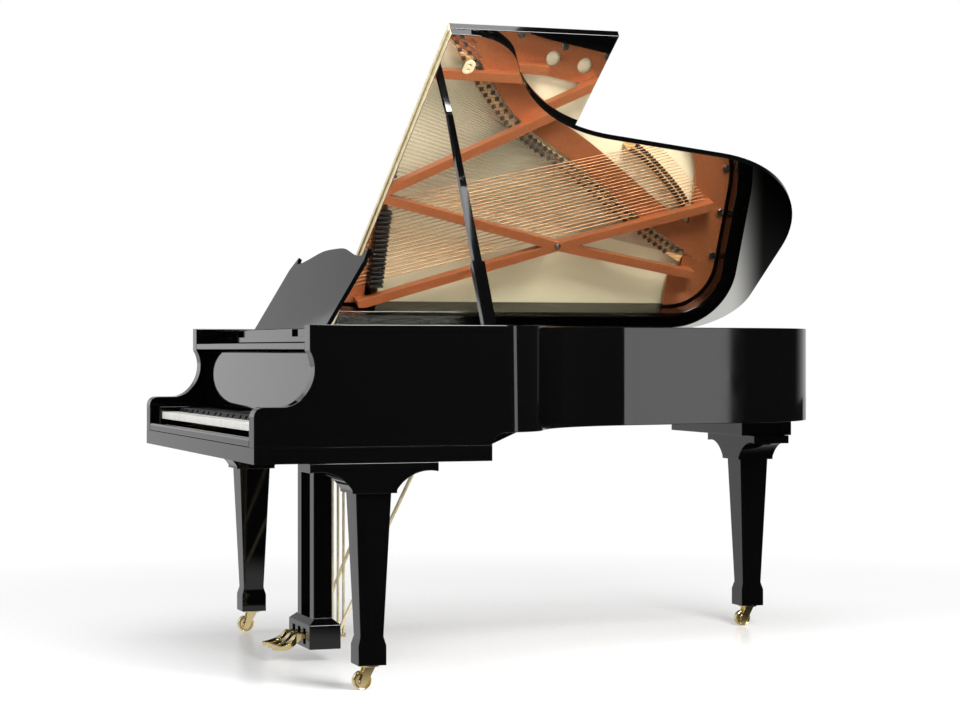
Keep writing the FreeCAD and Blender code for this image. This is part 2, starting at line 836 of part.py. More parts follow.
def strings(lines, z, radius, plate):
    """One string a note, from the front of the plate to just past its bridge, with none where
    a strut comes down."""
    inside = case_slab(rim_wall + seat_gap, 0, rim_top)
    wires = []
    for start, end in lines:
        beyond = (end - start).normalize() * string_tail_length
        wire = rod(V(start.x, start.y, z), V(end.x + beyond.x, end.y + beyond.y, z), radius)
        if wire.distToShape(plate)[0] > seat_gap / 2:
            wires.append(wire.common(inside))
    return Part.makeCompound(wires)


def tuning_pins():
    """Pins in four rows, standing through the plate in the pin block."""
    pins = []
    for row in range(pin_row_count):
        count = (plain_note_count + wound_note_count) // 2
        y = pin_front_row + row * pin_row_spacing
        for spot in front_spots(count, wound_front_shares[0], plain_front_shares[1], y):
            foot = V(spot.x + row * pin_radius, spot.y, plate_top)
            pins.append(Part.makeCylinder(pin_radius, pin_height, foot))
    return Part.makeCompound(pins)


def hitch_pins(lines, plate, fixed):
    """Short pins on the plate that hold the far ends of the plain strings."""
    pins = []
    for start, end in lines:
        spot = end + (end - start).normalize() * (string_tail_length + 2 * hitch_pin_radius)
        pin = Part.makeCylinder(hitch_pin_radius, hitch_pin_height, V(spot.x, spot.y, plate_top))
        stands = plate.isInside(V(spot.x, spot.y, plate_top - plate_web / 2), seat_gap, True)
        if stands and not pin.common(fixed).Solids:
            pins.append(pin)
    return Part.makeCompound(pins)


# The octave pattern of sharps: which naturals, counted from the lowest A, have one above them
sharp_after = (0, 2, 3, 5, 6)
naturals_per_octave = 7
middle_c_natural = 23
keyframe_bottom = keybed_top + keyframe_lift
keyframe_top = keyframe_bottom + keyframe_thickness
key_bottom = key_top - key_body_height
natural_width = natural_spacing - key_gap


def natural_x(index):
    return (index + 0.5) * natural_spacing - keyboard_half


def has_sharp(index):
    return index % naturals_per_octave in sharp_after and index < natural_count - 1


def natural_key(index):
    """A wide head in front of a narrow tail that leaves room for the sharps beside it."""
    x = natural_x(index)
    left_sharp = index > 0 and has_sharp(index - 1)
    right_sharp = has_sharp(index)
    head = box(x - natural_width / 2, x + natural_width / 2, key_front, key_front + key_head_length,
               key_bottom, key_top)
    side = natural_width / 2 - sharp_width / 2 - key_gap / 2
    left = side if left_sharp else natural_width / 2
    right = side if right_sharp else natural_width / 2
    tail = box(x - left, x + right, key_front + key_head_length, key_front + key_length, key_bottom,
               key_top)
    return head.fuse(tail).removeSplitter()


def sharp_key(index):
    """A raised key between two naturals, with a sloped front."""
    x = natural_x(index) + natural_spacing / 2
    front = key_front + key_head_length + key_gap
    half = sharp_width / 2 - key_gap / 2
    slope = sharp_rise / 2
    top = key_top + sharp_rise
    return side_profile([(front, key_bottom), (front, key_top), (front + slope, top),
                         (front + slope + sharp_length, top), (front + slope + sharp_length, key_top),
                         (key_front + key_length, key_top), (key_front + key_length, key_bottom)],
                        x - half, x + half)


def natural_keys():
    return Part.makeCompound([natural_key(i) for i in range(natural_count) if i != middle_c_natural])


def sharp_keys():
    return Part.makeCompound([sharp_key(i) for i in range(natural_count) if has_sharp(i)])


balance_top = key_bottom - running_gap


def key_frame():
    """The frame that the keys rock on: a front rail, a balance rail and a back rail."""
    back = key_front + key_length
    base = box(-keyboard_half, keyboard_half, key_front, back, keyframe_bottom, keyframe_top - key_gap)
    window_front = key_front + key_head_length
    low = keyframe_bottom - cut_overrun
    for y0, y1 in ((window_front, key_balance - balance_rail_width),
                   (key_balance + balance_rail_width, back - balance_rail_width)):
        base = base.cut(box(-keyboard_half + balance_rail_width, keyboard_half - balance_rail_width, y0, y1,
                            low, key_top))
    balance = box(-keyboard_half, keyboard_half, key_balance - balance_rail_width / 4,
                  key_balance + balance_rail_width / 4, keyframe_bottom, balance_top)
    return base.fuse(balance)


key_back = key_front + key_length
action_bracket_shares = (-0.98, -0.33, 0.33, 0.98)


def action_stack():
    """Four brackets on the back of the key frame and the rail that carries the hammers."""
    rail = box(-keyboard_half, keyboard_half, action_rail_y, action_rail_y + action_rail_width,
               action_rail_z, action_rail_z + action_rail_height)
    pieces = []
    for share in action_bracket_shares:
        x = share * (keyboard_half - action_bracket_width / 2)
        pieces.append(side_profile(
            [(key_back, keyframe_bottom), (action_rail_y + action_rail_width, keyframe_bottom),
             (action_rail_y + action_rail_width, action_rail_z), (action_rail_y, action_rail_z),
             (key_back, keyframe_top)], x - action_bracket_width / 2, x + action_bracket_width / 2))
    return rail.fuse(pieces)


def note_xs(count):
    return spread(-keyboard_half + natural_spacing / 2, keyboard_half - natural_spacing / 2, count)


note_count = plain_note_count + wound_note_count
shank_z = action_rail_z + action_rail_height / 2
hammer_pivot_y = action_rail_y + action_rail_width


def hammer(x):
    """A felt head on a shank that runs back from the action rail."""
    head = box(x - hammer_thickness / 2, x + hammer_thickness / 2, hammer_line - hammer_head_depth / 2,
               hammer_line + hammer_head_depth / 2, hammer_top - hammer_head_height,
               hammer_top - hammer_head_depth / 2)
    crown = rod(V(x - hammer_thickness / 2, hammer_line, hammer_top - hammer_head_depth / 2),
                V(x + hammer_thickness / 2, hammer_line, hammer_top - hammer_head_depth / 2),
                hammer_head_depth / 2)
    neck = box(x - hammer_shank_radius, x + hammer_shank_radius, hammer_line - hammer_shank_radius,
               hammer_line + hammer_shank_radius, shank_z - hammer_shank_radius,
               hammer_top - hammer_head_height)
    shank = rod(V(x, hammer_pivot_y + seat_gap + running_gap, shank_z), V(x, hammer_line, shank_z),
                hammer_shank_radius)
    return head.fuse([crown, neck, shank])


notes_below_middle_c_count = 39


def hammers():
    places = note_xs(note_count)
    places.pop(notes_below_middle_c_count)
    return Part.makeCompound([hammer(x) for x in places])


def middle_c_hammer():
    return hammer(note_xs(note_count)[notes_below_middle_c_count])


def damper_xs():
    return spread(wound_front_shares[0] * half_width, keyboard_half / 2, damper_count)


plain_damper_bottom = plain_string_z + plain_string_radius + seat_gap
wound_damper_bottom = wound_string_z + wound_string_radius + seat_gap
damper_top = wound_damper_bottom + damper_height
damper_front_shares = (-0.385, -0.899, 0.191, 0.520)


def string_xs(y):
    return sorted(start.x + (end.x - start.x) * (y - start.y) / (end.y - start.y)
                  for start, end in plain_lines + wound_lines)


def damper_places():
    """Where the heads stand, leaving room for each strut's foot."""
    posts = [share * half_width for share in damper_front_shares]
    return [x for x in damper_xs() if min(abs(x - post) for post in posts) > 2 * strut_width]


def damper_bottom(x):
    """The height of the strings under a head: the wound ones lie higher than the plain ones."""
    for start, end in wound_lines:
        for y in (damper_line - damper_length / 2, damper_line + damper_length / 2):
            wire_x = start.x + (end.x - start.x) * (y - start.y) / (end.y - start.y)
            if abs(wire_x - x) < damper_width:
                return wound_damper_bottom
    return plain_damper_bottom


def damper_heads():
    """Felt-faced heads resting on the strings."""
    return Part.makeCompound([
        box(x - damper_width / 2, x + damper_width / 2, damper_line - damper_length / 2,
            damper_line + damper_length / 2, damper_bottom(x), damper_top)
        for x in damper_places()])


def damper_lift():
    """The tray that slides on the front of the belly rail, and the wires that pass up between
    the strings to the heads."""
    wire_y = damper_line + damper_length / 4
    xs = string_xs(wire_y)
    least = 2 * (damper_wire_radius + wound_string_radius + running_gap)
    gaps = [(a + b) / 2 for a, b in zip(xs, xs[1:]) if b - a > least]
    heads = damper_places()
    tray = box(heads[0], heads[-1], damper_line, belly_rail_front - seat_gap,
               damper_tray_top - damper_tray_height, damper_tray_top)
    wires = []
    for x in heads:
        gap = min(gaps, key=lambda spot: abs(spot - x))
        if abs(gap - x) < damper_width / 2 - damper_wire_radius:
            wires.append(rod(V(gap, wire_y, damper_tray_top), V(gap, wire_y, damper_bottom(x)),
                             damper_wire_radius))
    return Part.makeCompound([tray] + wires)


def fallboard():
    """The board that covers the keys, standing open and leaning back on its two end pins."""
    half = inner_half_width - moving_gap
    low = fallboard_pin_z - fallboard_thickness / 2
    board = box(-half, half, fallboard_pin_y - fallboard_thickness / 2,
                fallboard_pin_y + fallboard_thickness / 2,
                low, low + fallboard_height)
    rounded = [edge for edge in board.Edges
               if edge.BoundBox.ZMin > fallboard_pin_z + fallboard_height / 2
               and edge.BoundBox.XLength > half]
    board = board.makeFillet(fallboard_thickness / 3, rounded)
    for side in (-1, 1):
        board = board.cut(rod(V(side * (half - fallboard_pin_length), fallboard_pin_y, fallboard_pin_z),
                              V(side * inner_half_width, fallboard_pin_y, fallboard_pin_z),
                              fallboard_pin_radius + running_gap))
    board.rotate(V(0, fallboard_pin_y, fallboard_pin_z), V(1, 0, 0), -fallboard_lean)
    return board


def fallboard_pins():
    reach = inner_half_width - fallboard_pin_length
    return Part.makeCompound([
        rod(V(side * inner_half_width, fallboard_pin_y, fallboard_pin_z),
            V(side * reach, fallboard_pin_y, fallboard_pin_z), fallboard_pin_radius) for side in (-1, 1)])


tray_half = inner_half_width - tray_side_gap


def tray_rails():
    """Runners on the inside of the case that the music tray slides on."""
    rails = []
    for side in (-1, 1):
        ends = sorted((side * (inner_half_width - tray_rail_width), side * inner_half_width))
        rails.append(box(ends[0], ends[1], tray_front, plate_front - seat_gap,
                         front_rail_top - tray_rail_width, tray_board_bottom))
    return Part.makeCompound(rails)


desk_pivot_z = tray_board_top + desk_pivot_rise
desk_ear_shares = (-0.78, 0.78)


def music_tray():
    """A board with a raised lip at its front, finger notches in the lip, and ears for the desk."""
    board = box(-tray_half, tray_half, tray_front, tray_back, tray_board_bottom, tray_board_top)
    lip = box(-tray_half, tray_half, tray_front, tray_front + tray_lip_thickness, tray_board_bottom,
              tray_lip_top)
    tray = board.fuse(lip)
    for side in (-1, 1):
        for step in (0, 1):
            far = side * (tray_half - tray_notch_end - step * tray_notch_spacing)
            near = far - side * tray_notch_width
            tray = tray.cut(box(min(far, near), max(far, near), tray_front - cut_overrun,
                                tray_front + tray_lip_thickness / 2, tray_lip_top - tray_notch_depth,
                                tray_lip_top - moving_gap))
    for share in desk_ear_shares:
        x = share * desk_half_width
        for side in (-1, 1):
            inner = x + side * (desk_pin_length / 2 + moving_gap)
            outer = inner + side * desk_ear_wall
            tray = tray.fuse(box(min(inner, outer), max(inner, outer), desk_pivot_y - desk_ear_wall,
                                 desk_pivot_y + desk_ear_wall, tray_board_top,
                                 desk_pivot_z + 2 * desk_pin_radius))
        reach = desk_pin_length + 2 * desk_ear_wall
        tray = tray.cut(rod(V(x - reach, desk_pivot_y, desk_pivot_z),
                            V(x + reach, desk_pivot_y, desk_pivot_z),
                            desk_pin_radius + seat_gap))
    return tray.removeSplitter()


# The desk's outline from its middle to one side, as shares of its half width and height
desk_hump_shares = ((0.0, 1.0), (0.30, 0.985), (0.62, 0.90), (0.86, 0.865))
desk_side_shares = ((0.86, 0.865), (0.93, 0.955), (1.0, 0.80), (1.0, 0.04))


def desk_turned(shape):
    """Stands a piece that was laid out flat behind the desk's pivot line up to the desk's lean."""
    turned = shape.copy()
    turned.rotate(V(0, desk_pivot_y, desk_pivot_z), V(1, 0, 0), 90 - desk_lean)
    return turned


def desk_spot(share):
    return V(share[0] * desk_half_width, desk_pivot_y + share[1] * desk_height, 0)


def music_desk():
    """A board with a humped, eared top, turning on pins in the ears of the tray."""
    hump = [desk_spot(share) for share in desk_hump_shares]
    curve = Part.BSplineCurve()
    curve.interpolate([V(-p.x, p.y, 0) for p in reversed(hump[1:])] + hump)
    right = [desk_spot(share) for share in desk_side_shares]
    left = [V(-p.x, p.y, 0) for p in right]
    edges = [Part.makeLine(a, b) for side in (right, left) for a, b in zip(side, side[1:])]
    edges += [curve.toShape(), Part.makeLine(right[-1], left[-1])]
    outline = Part.Wire(Part.__sortEdges__(edges))
    back = desk_pivot_z + desk_offset
    board = slab(outline, back, back + desk_thickness)
    for share in desk_ear_shares:
        x = share * desk_half_width
        lug = box(x - desk_pin_length / 2, x + desk_pin_length / 2, desk_pivot_y - desk_pin_radius,
                  desk_pivot_y + desk_pin_length, desk_pivot_z - desk_pin_radius, back)
        lug = lug.fuse(box(x - desk_pin_length / 2, x + desk_pin_length / 2, desk_pivot_y + desk_pin_length,
                           desk_pivot_y + 2 * desk_pin_length, desk_pivot_z, back))
        reach = desk_pin_length / 2 + moving_gap + desk_ear_wall
        pin = rod(V(x - reach, desk_pivot_y, desk_pivot_z), V(x + reach, desk_pivot_y, desk_pivot_z),
                  desk_pin_radius)
        board = board.fuse([lug, pin])
    strut_y = desk_pivot_y + desk_strut_arm
    for side in (-1, 1):
        inner = side * (desk_strut_width / 2 + moving_gap)
        outer = inner + side * desk_ear_wall
        board = board.fuse(box(min(inner, outer), max(inner, outer), strut_y - desk_ear_wall,
                               strut_y + desk_ear_wall,
                               desk_pivot_z - desk_pin_radius, back))
    reach = desk_strut_width / 2 + moving_gap + desk_ear_wall
    board = board.cut(rod(V(-reach, strut_y, desk_pivot_z), V(reach, strut_y, desk_pivot_z),
                          desk_pin_radius / 2 + seat_gap))
    return desk_turned(board)


def desk_strut():
    """A flap behind the desk, as long as the arm that carries it, so its foot stays on the tray."""
    y = desk_pivot_y + desk_strut_arm
    half = desk_strut_width / 2
    thick = desk_strut_thickness / 2
    blade = box(-half, half, y, y + desk_strut_arm, desk_pivot_z - thick, desk_pivot_z + thick)
    reach = half + moving_gap + desk_ear_wall
    knuckle = rod(V(-half, y, desk_pivot_z), V(half, y, desk_pivot_z), thick)
    pin = rod(V(-reach, y, desk_pivot_z), V(reach, y, desk_pivot_z), desk_pin_radius / 2)
    foot_y = y + desk_strut_arm
    foot = rod(V(-half, foot_y, desk_pivot_z), V(half, foot_y, desk_pivot_z), desk_pivot_rise - seat_gap)
    stood = desk_turned(blade.fuse([knuckle, pin, foot]))
    turn = math.radians(90 - desk_lean)
    hinge = V(0, desk_pivot_y + desk_strut_arm * math.cos(turn),
              desk_pivot_z + desk_strut_arm * math.sin(turn))
    stood.rotate(hinge, V(1, 0, 0), -2 * (90 - desk_lean))
    return stood


def leg(x, y, top, along_y):
    """A tapered square leg: a top plate with hollow brackets two ways, a shaft and a foot block."""
    plate_low = top - leg_plate_height
    capital_low = top - leg_capital_height
    reach = leg_bracket_reach
    core = leg_capital / 2
    curve_drop = plate_low - capital_low - leg_plate_height / 3
    edges = []
    ends = [V(-reach, 0, top), V(reach, 0, top), V(reach, 0, plate_low)]
    edges += [Part.makeLine(a, b) for a, b in zip(ends, ends[1:])]
    lip = capital_low + (plate_low - capital_low - curve_drop)
    bow = 1 - math.sqrt(0.5)
    edges.append(Part.Arc(V(reach, 0, plate_low),
                          V(core + (reach - core) * bow, 0, plate_low - curve_drop * bow),
                          V(core, 0, lip)).toShape())
    edges += [Part.makeLine(V(core, 0, lip), V(core, 0, capital_low)),
              Part.makeLine(V(core, 0, capital_low), V(-core, 0, capital_low)),
              Part.makeLine(V(-core, 0, capital_low), V(-core, 0, lip))]
    edges.append(Part.Arc(V(-core, 0, lip),
                          V(-core - (reach - core) * bow, 0, plate_low - curve_drop * bow),
                          V(-reach, 0, plate_low)).toShape())
    edges.append(Part.makeLine(V(-reach, 0, plate_low), V(-reach, 0, top)))
    capital = Part.Face(Part.Wire(edges)).extrude(V(0, leg_capital, 0))
    capital.translate(V(0, -core, 0))
    if along_y:
        capital.rotate(V(0, 0, 0), V(0, 0, 1), 90)
    capital.translate(V(x, y, 0))
    shaft = loft_squares(x, y, [(leg_ankle_size, leg_ankle_size, leg_ankle_height),
                                (leg_top_size, leg_top_size, capital_low)])
    flare = loft_squares(x, y, [(leg_foot_size, leg_foot_size, leg_foot_top),
                                (leg_ankle_size, leg_ankle_size, leg_ankle_height)])
    foot = loft_squares(x, y, [(leg_foot_size, leg_foot_size, leg_foot_bottom),
                               (leg_foot_size, leg_foot_size, leg_foot_top)])
    socket = rod(V(x, y, leg_foot_bottom), V(x, y, leg_foot_top), fork_stem_radius + running_gap)
    return capital.fuse([shaft, flare, foot]).cut(socket)


fork_top = leg_foot_bottom - seat_gap
fork_inner = wheel_width / 2 + moving_gap


def caster_fork(x, y):
    """A swivel plate with a stem in the leg, two cheeks and the axle, trailing towards the front."""
    axle = V(x, y - wheel_trail, wheel_radius)
    plate = Part.makeCylinder(fork_collar, fork_plate, V(x, y, fork_top - fork_plate))
    stem = rod(V(x, y, fork_top), V(x, y, leg_foot_top - moving_gap), fork_stem_radius)
    fork = plate.fuse(stem)
    for side in (-1, 1):
        x0 = x + side * fork_inner
        x1 = x0 + side * fork_wall
        low = wheel_radius - 2 * axle_radius
        cheek = side_profile([(axle.y - 2 * axle_radius, low), (axle.y + 2 * axle_radius, low),
                              (y + fork_collar / 2, fork_top - fork_plate),
                              (y - fork_collar / 2, fork_top - fork_plate)],
                             min(x0, x1), max(x0, x1))
        fork = fork.fuse(cheek)
    reach = fork_inner + fork_wall
    return fork.fuse(rod(axle - V(reach, 0, 0), axle + V(reach, 0, 0), axle_radius)).removeSplitter()


def caster_wheel(x, y):
    axle = V(x, y - wheel_trail, wheel_radius)
    half = V(wheel_width / 2, 0, 0)
    wheel = rod(axle - half, axle + half, wheel_radius)
    rims = [edge for edge in wheel.Edges if edge.Curve.TypeId == "Part::GeomCircle"]
    wheel = wheel.makeFillet(wheel_width / 6, rims)
    return wheel.cut(rod(axle - half, axle + half, axle_radius + axle_gap))


lyre_back = lyre_front + lyre_box_depth
post_y = lyre_front + lyre_box_depth / 2
pedal_slot = pedal_stem_width + pedal_slot_gap


def lyre():
    """A head under the keybed, two posts and the pedal box with its sloped top."""
    head = box(-lyre_head_width / 2, lyre_head_width / 2, post_y - lyre_head_depth / 2,
               post_y + lyre_head_depth / 2,
               keybed_bottom - lyre_head_height, keybed_bottom)
    body = box(-lyre_box_width / 2, lyre_box_width / 2, lyre_front, lyre_back, lyre_box_bottom,
               lyre_box_side_top)
    slope = loft_squares(0, post_y, [(lyre_box_width, lyre_box_depth, lyre_box_side_top),
                                     (lyre_box_width - 2 * lyre_box_chamfer,
                                      lyre_box_depth - 2 * lyre_box_chamfer,
                                      lyre_box_top)])
    pieces = [body, slope]
    for side in (-1, 1):
        x = side * lyre_post_spacing / 2
        pieces.append(box(x - lyre_post_width / 2, x + lyre_post_width / 2, post_y - lyre_post_depth / 2,
                          post_y + lyre_post_depth / 2, lyre_box_top - lyre_box_chamfer / 2,
                          keybed_bottom - lyre_head_height))
    frame = head.fuse(pieces)
    swing = math.tan(math.radians(pedal_throw)) * (pedal_reach + lyre_box_depth)
    for x in pedal_xs:
        frame = frame.cut(box(x - pedal_slot / 2, x + pedal_slot / 2, lyre_front - cut_overrun,
                              lyre_back + cut_overrun,
                              pedal_height - pedal_thickness / 2 - swing,
                              pedal_height + pedal_thickness / 2 + swing))
    return frame.removeSplitter()


def pedal_outline(x, low, high):
    """The plan of a pedal as a block: a rounded toe in front, a narrow stem and a tail behind."""
    toe_front = lyre_front - pedal_reach
    toe_back = toe_front + pedal_toe_length
    tail_back = pedal_rod_y + pedal_rod_radius + seat_gap
    toe_half = pedal_toe_width / 2
    stem_half = pedal_stem_width / 2
    shoulder = V(x + stem_half, toe_back, 0)
    side = curve_through([(x + stem_half, toe_back, 0), (x + toe_half, toe_front + pedal_toe_length / 2, 0),
                          (x + toe_half * pedal_tip_share, toe_front + toe_half / 3, 0),
                          (x, toe_front, 0)]).toShape()
    mirrored = side.mirror(V(x, 0, 0), V(1, 0, 0))
    stem = [shoulder, V(x + stem_half, tail_back, 0), V(x - stem_half, tail_back, 0),
            V(x - stem_half, toe_back, 0)]
    edges = [side, mirrored] + [Part.makeLine(a, b) for a, b in zip(stem, stem[1:])]
    return slab(Part.Wire(Part.__sortEdges__(edges)), low, high)


def pedal_profile(x):
    """The side of a pedal as a block: level through the box, then a neck that drops to the toe."""
    top = pedal_height + pedal_thickness / 2
    low = pedal_height - pedal_thickness / 2
    toe_low = pedal_height - pedal_toe_drop
    tail_y = lyre_back + pedal_reach
    x0 = x - pedal_toe_width

    def along(shares):
        return [(x0, lyre_front - reach * pedal_reach, toe_low + rise * (top - toe_low))
                for reach, rise in shares]

    over = [(x0, lyre_front, top)] + along(pedal_over_shares)
    under = along(pedal_under_shares) + [(x0, lyre_front, low)]
    edges = [curve_through(over).toShape(), Part.makeLine(V(*over[-1]), V(*under[0])),
             curve_through(under).toShape(), Part.makeLine(V(*under[-1]), V(x0, tail_y, low)),
             Part.makeLine(V(x0, tail_y, low), V(x0, tail_y, top)),
             Part.makeLine(V(x0, tail_y, top), V(*over[0]))]
    return Part.Face(Part.Wire(edges)).extrude(V(2 * pedal_toe_width, 0, 0))


def pedal(x):
    """A lever through the pedal box, with a swan neck in front of it."""
    lever = pedal_outline(x, 0, lyre_box_top).common(pedal_profile(x))
    bore = rod(V(x - pedal_stem_width, pedal_pin_y, pedal_height),
               V(x + pedal_stem_width, pedal_pin_y, pedal_height),
               pedal_pin_radius + seat_gap)
    return lever.cut(bore)


def pedal_pins():
    return Part.makeCompound([
        rod(V(x - pedal_slot / 2, pedal_pin_y, pedal_height),
            V(x + pedal_slot / 2, pedal_pin_y, pedal_height),
            pedal_pin_radius) for x in pedal_xs])


def pedal_rod(x):
    """A rod that stands on the pedal's tail and reaches up through the keybed."""
    return rod(V(x, pedal_rod_y, pedal_height + pedal_thickness / 2 + seat_gap),
               V(x, pedal_rod_y, pedal_rod_top),
               pedal_rod_radius)


def lyre_braces():
    """Two rods from the back of the pedal box up to foot plates under the keybed."""
    pieces = []
    for side in (-1, 1):
        foot = V(side * (lyre_box_width / 2 - 2 * brace_rod_radius), lyre_back, brace_rod_foot_z)
        head = V(side * brace_rod_spread, brace_rod_top_y, keybed_bottom - brace_rod_plate_height)
        brace = rod(foot, head, brace_rod_radius)
        trimmed = brace.cut(box(-lyre_box_width, lyre_box_width, 0, lyre_back, 0, rim_top))
        plate = Part.makeCylinder(3 * brace_rod_radius, brace_rod_plate_height, head)
        pieces.append(trimmed.fuse(plate).removeSplitter())
    return Part.makeCompound(pieces)


front_leg_top = keybed_bottom
rear_leg_top = tail_block_bottom
leg_places = {"bass": (-leg_x, leg_y), "treble": (leg_x, leg_y), "tail": (rear_leg_x, rear_leg_y)}

plate = iron_plate()
plain_bridge = bridge(long_bridge_shares, long_bridge_top, plate)
plain_wires = strings(plain_lines, plain_string_z, plain_string_radius, plate)
wound_wires = strings(wound_lines, wound_string_z, wound_string_radius, plate)
fixed = Part.makeCompound([plate, plain_wires, wound_wires])
nodes = {
    "outer_rim": outer_rim(),
    "inner_rim": inner_rim(),
    "belly_rail": belly_rail(),
    "case_braces": case_braces(),
    "tail_block": tail_block(),
    "keybed": keybed(),
    "keyslip": keyslip(),
    "key_blocks": key_blocks(),
    "front_rail": front_rail(),
    "main_lid": main_lid(),
    "lid_flap": lid_flap(),
    "flap_hinge": flap_hinge(),
    "flap_leaf": flap_leaf_strip(),
    "lid_hinges": lid_hinges(),
    "lid_hinge_leaves": lid_hinge_leaves(),
    "prop_cup": prop_cup(),
    "lid_prop": lid_prop(),
    "prop_bracket": prop_bracket(),
    "soundboard": soundboard(),
    "soundboard_ribs": soundboard_ribs(),
    "long_bridge": plain_bridge,
    "bass_bridge": bridge(bass_bridge_shares, bass_bridge_top, plate),
    "iron_plate": plate,
    "plate_bolts_and_pins": Part.makeCompound([plate_bolts(plain_bridge, fixed),
                                              hitch_pins(plain_lines, plate, fixed)]),
    "pin_block": pin_block(),
    "tuning_pins": tuning_pins(),
    "plain_strings": plain_wires,
    "wound_strings": wound_wires,
    "key_frame": key_frame(),
    "natural_keys": natural_keys(),
    "sharp_keys": sharp_keys(),
    "middle_c_key": natural_key(middle_c_natural),
    "action_stack": action_stack(),
    "hammers": hammers(),
    "middle_c_hammer": middle_c_hammer(),
    "damper_heads": damper_heads(),
    "damper_lift": damper_lift(),
    "fallboard": fallboard(),
    "pivot_pins": Part.makeCompound([fallboard_pins(), pedal_pins()]),
    "tray_rails": tray_rails(),
    "music_tray": music_tray(),
    "music_desk": music_desk(),
    "desk_strut": desk_strut(),
    "lyre": lyre(),
    "lyre_braces": lyre_braces(),
}
for name, (x, y) in leg_places.items():
    on_tail = name == "tail"
    nodes[name + "_leg"] = leg(x, y, rear_leg_top if on_tail else front_leg_top, not on_tail)
    nodes[name + "_caster_fork"] = caster_fork(x, y)
    nodes[name + "_caster_wheel"] = caster_wheel(x, y)
for name, x in zip(("soft", "sostenuto", "sustain"), pedal_xs):
    nodes[name + "_pedal"] = pedal(x)

# The three rods share the pedals' names.
for name, x in zip(("soft", "sostenuto", "sustain"), pedal_xs):
    nodes[name + "_rod"] = pedal_rod(x)

# The raised lid's flap reaches furthest to the bass side, and the lid's overhang to the tail.
turn = math.radians(lid_open_angle)
bass_reach = lid_pin.x + lid_pin_offset * math.cos(turn) - (flap_top - lid_pin.z) * math.sin(turn)
origin = V((bass_reach + half_width) / 2, (tail_end + lid_overhang) / 2, 0)

os.makedirs("parts", exist_ok=True)
for name, shape in nodes.items():
    placed = shape.copy()
    placed.translate(-origin)
    placed.exportStep("parts/" + name + ".step")

print("nodes", len(nodes), "origin", origin)
print("lid pin", lid_pin - origin, "flap pin y", flap_pin_y - origin.y, "z", flap_pin_z)
print("prop foot", prop_foot - origin, "prop length", prop_length)
print("fallboard pin", fallboard_pin_y - origin.y, fallboard_pin_z)
print("desk pivot", desk_pivot_y - origin.y, desk_pivot_z)
print("key balance", key_balance - origin.y, balance_top)
print("hammer pivot", hammer_pivot_y - origin.y, shank_z)
print("pedal pins", [x - origin.x for x in pedal_xs], pedal_pin_y - origin.y, pedal_height)
print("pedal rods", pedal_rod_y - origin.y)
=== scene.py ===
import json
import math

import bpy
from bpy.props import FloatProperty, FloatVectorProperty, IntProperty, PointerProperty
from bpy.types import Operator, Panel, PropertyGroup
from mathutils import Matrix, Vector
from mathutils.bvhtree import BVHTree


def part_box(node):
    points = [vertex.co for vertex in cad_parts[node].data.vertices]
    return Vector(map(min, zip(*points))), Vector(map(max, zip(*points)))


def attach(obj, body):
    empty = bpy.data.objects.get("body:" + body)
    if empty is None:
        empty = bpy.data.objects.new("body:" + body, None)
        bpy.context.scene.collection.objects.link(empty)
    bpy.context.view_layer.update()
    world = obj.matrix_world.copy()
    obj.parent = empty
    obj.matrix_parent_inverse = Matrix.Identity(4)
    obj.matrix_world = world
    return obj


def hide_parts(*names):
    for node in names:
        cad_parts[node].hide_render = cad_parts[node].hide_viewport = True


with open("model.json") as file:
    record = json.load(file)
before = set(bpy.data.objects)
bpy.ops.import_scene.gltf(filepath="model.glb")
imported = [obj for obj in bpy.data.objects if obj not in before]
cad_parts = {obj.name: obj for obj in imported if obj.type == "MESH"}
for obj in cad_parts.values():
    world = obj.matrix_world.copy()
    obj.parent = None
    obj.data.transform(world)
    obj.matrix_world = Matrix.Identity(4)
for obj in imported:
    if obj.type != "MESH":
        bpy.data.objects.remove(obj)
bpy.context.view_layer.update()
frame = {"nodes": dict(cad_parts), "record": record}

bl_info = {
    "name": "Grand Piano Finish",
    "version": (1, 0, 0),
    "blender": (4, 5, 0),
    "location": "View3D > Sidebar > Piano",
    "description": "Dresses the loaded grand piano in lacquer, brass, wood, strings and felt",
    "category": "Object",
}

MM = 0.001
BODY_OF = {node: body for body, nodes in frame["record"]["behaviour"]["bodies"].items() for node in nodes}
JOINT_OF = {joint["name"]: joint for joint in frame["record"]["behaviour"]["joints"]}
LID_SLOPE = Vector(JOINT_OF["flap_hinge"]["axis"])
LID_UNDERSIDE = Vector((LID_SLOPE.z, 0, -LID_SLOPE.x))
UP = Vector((0, 0, 1))
DOWN = Vector((0, 0, -1))
FRONT = Vector((0, -1, 0))

# How the CAD shapes are read: welding and flatness, the ends of strings, and feeling for a bar from above.
WELD = 0.002 * MM
FLAT_ANGLE = math.radians(0.4)
STRING_END = 4 * MM
FEEL_STEP = 2 * MM
FEEL_REACH = 50 * MM
FEWEST_TOUCHES = 4
LEVEL = 0.9

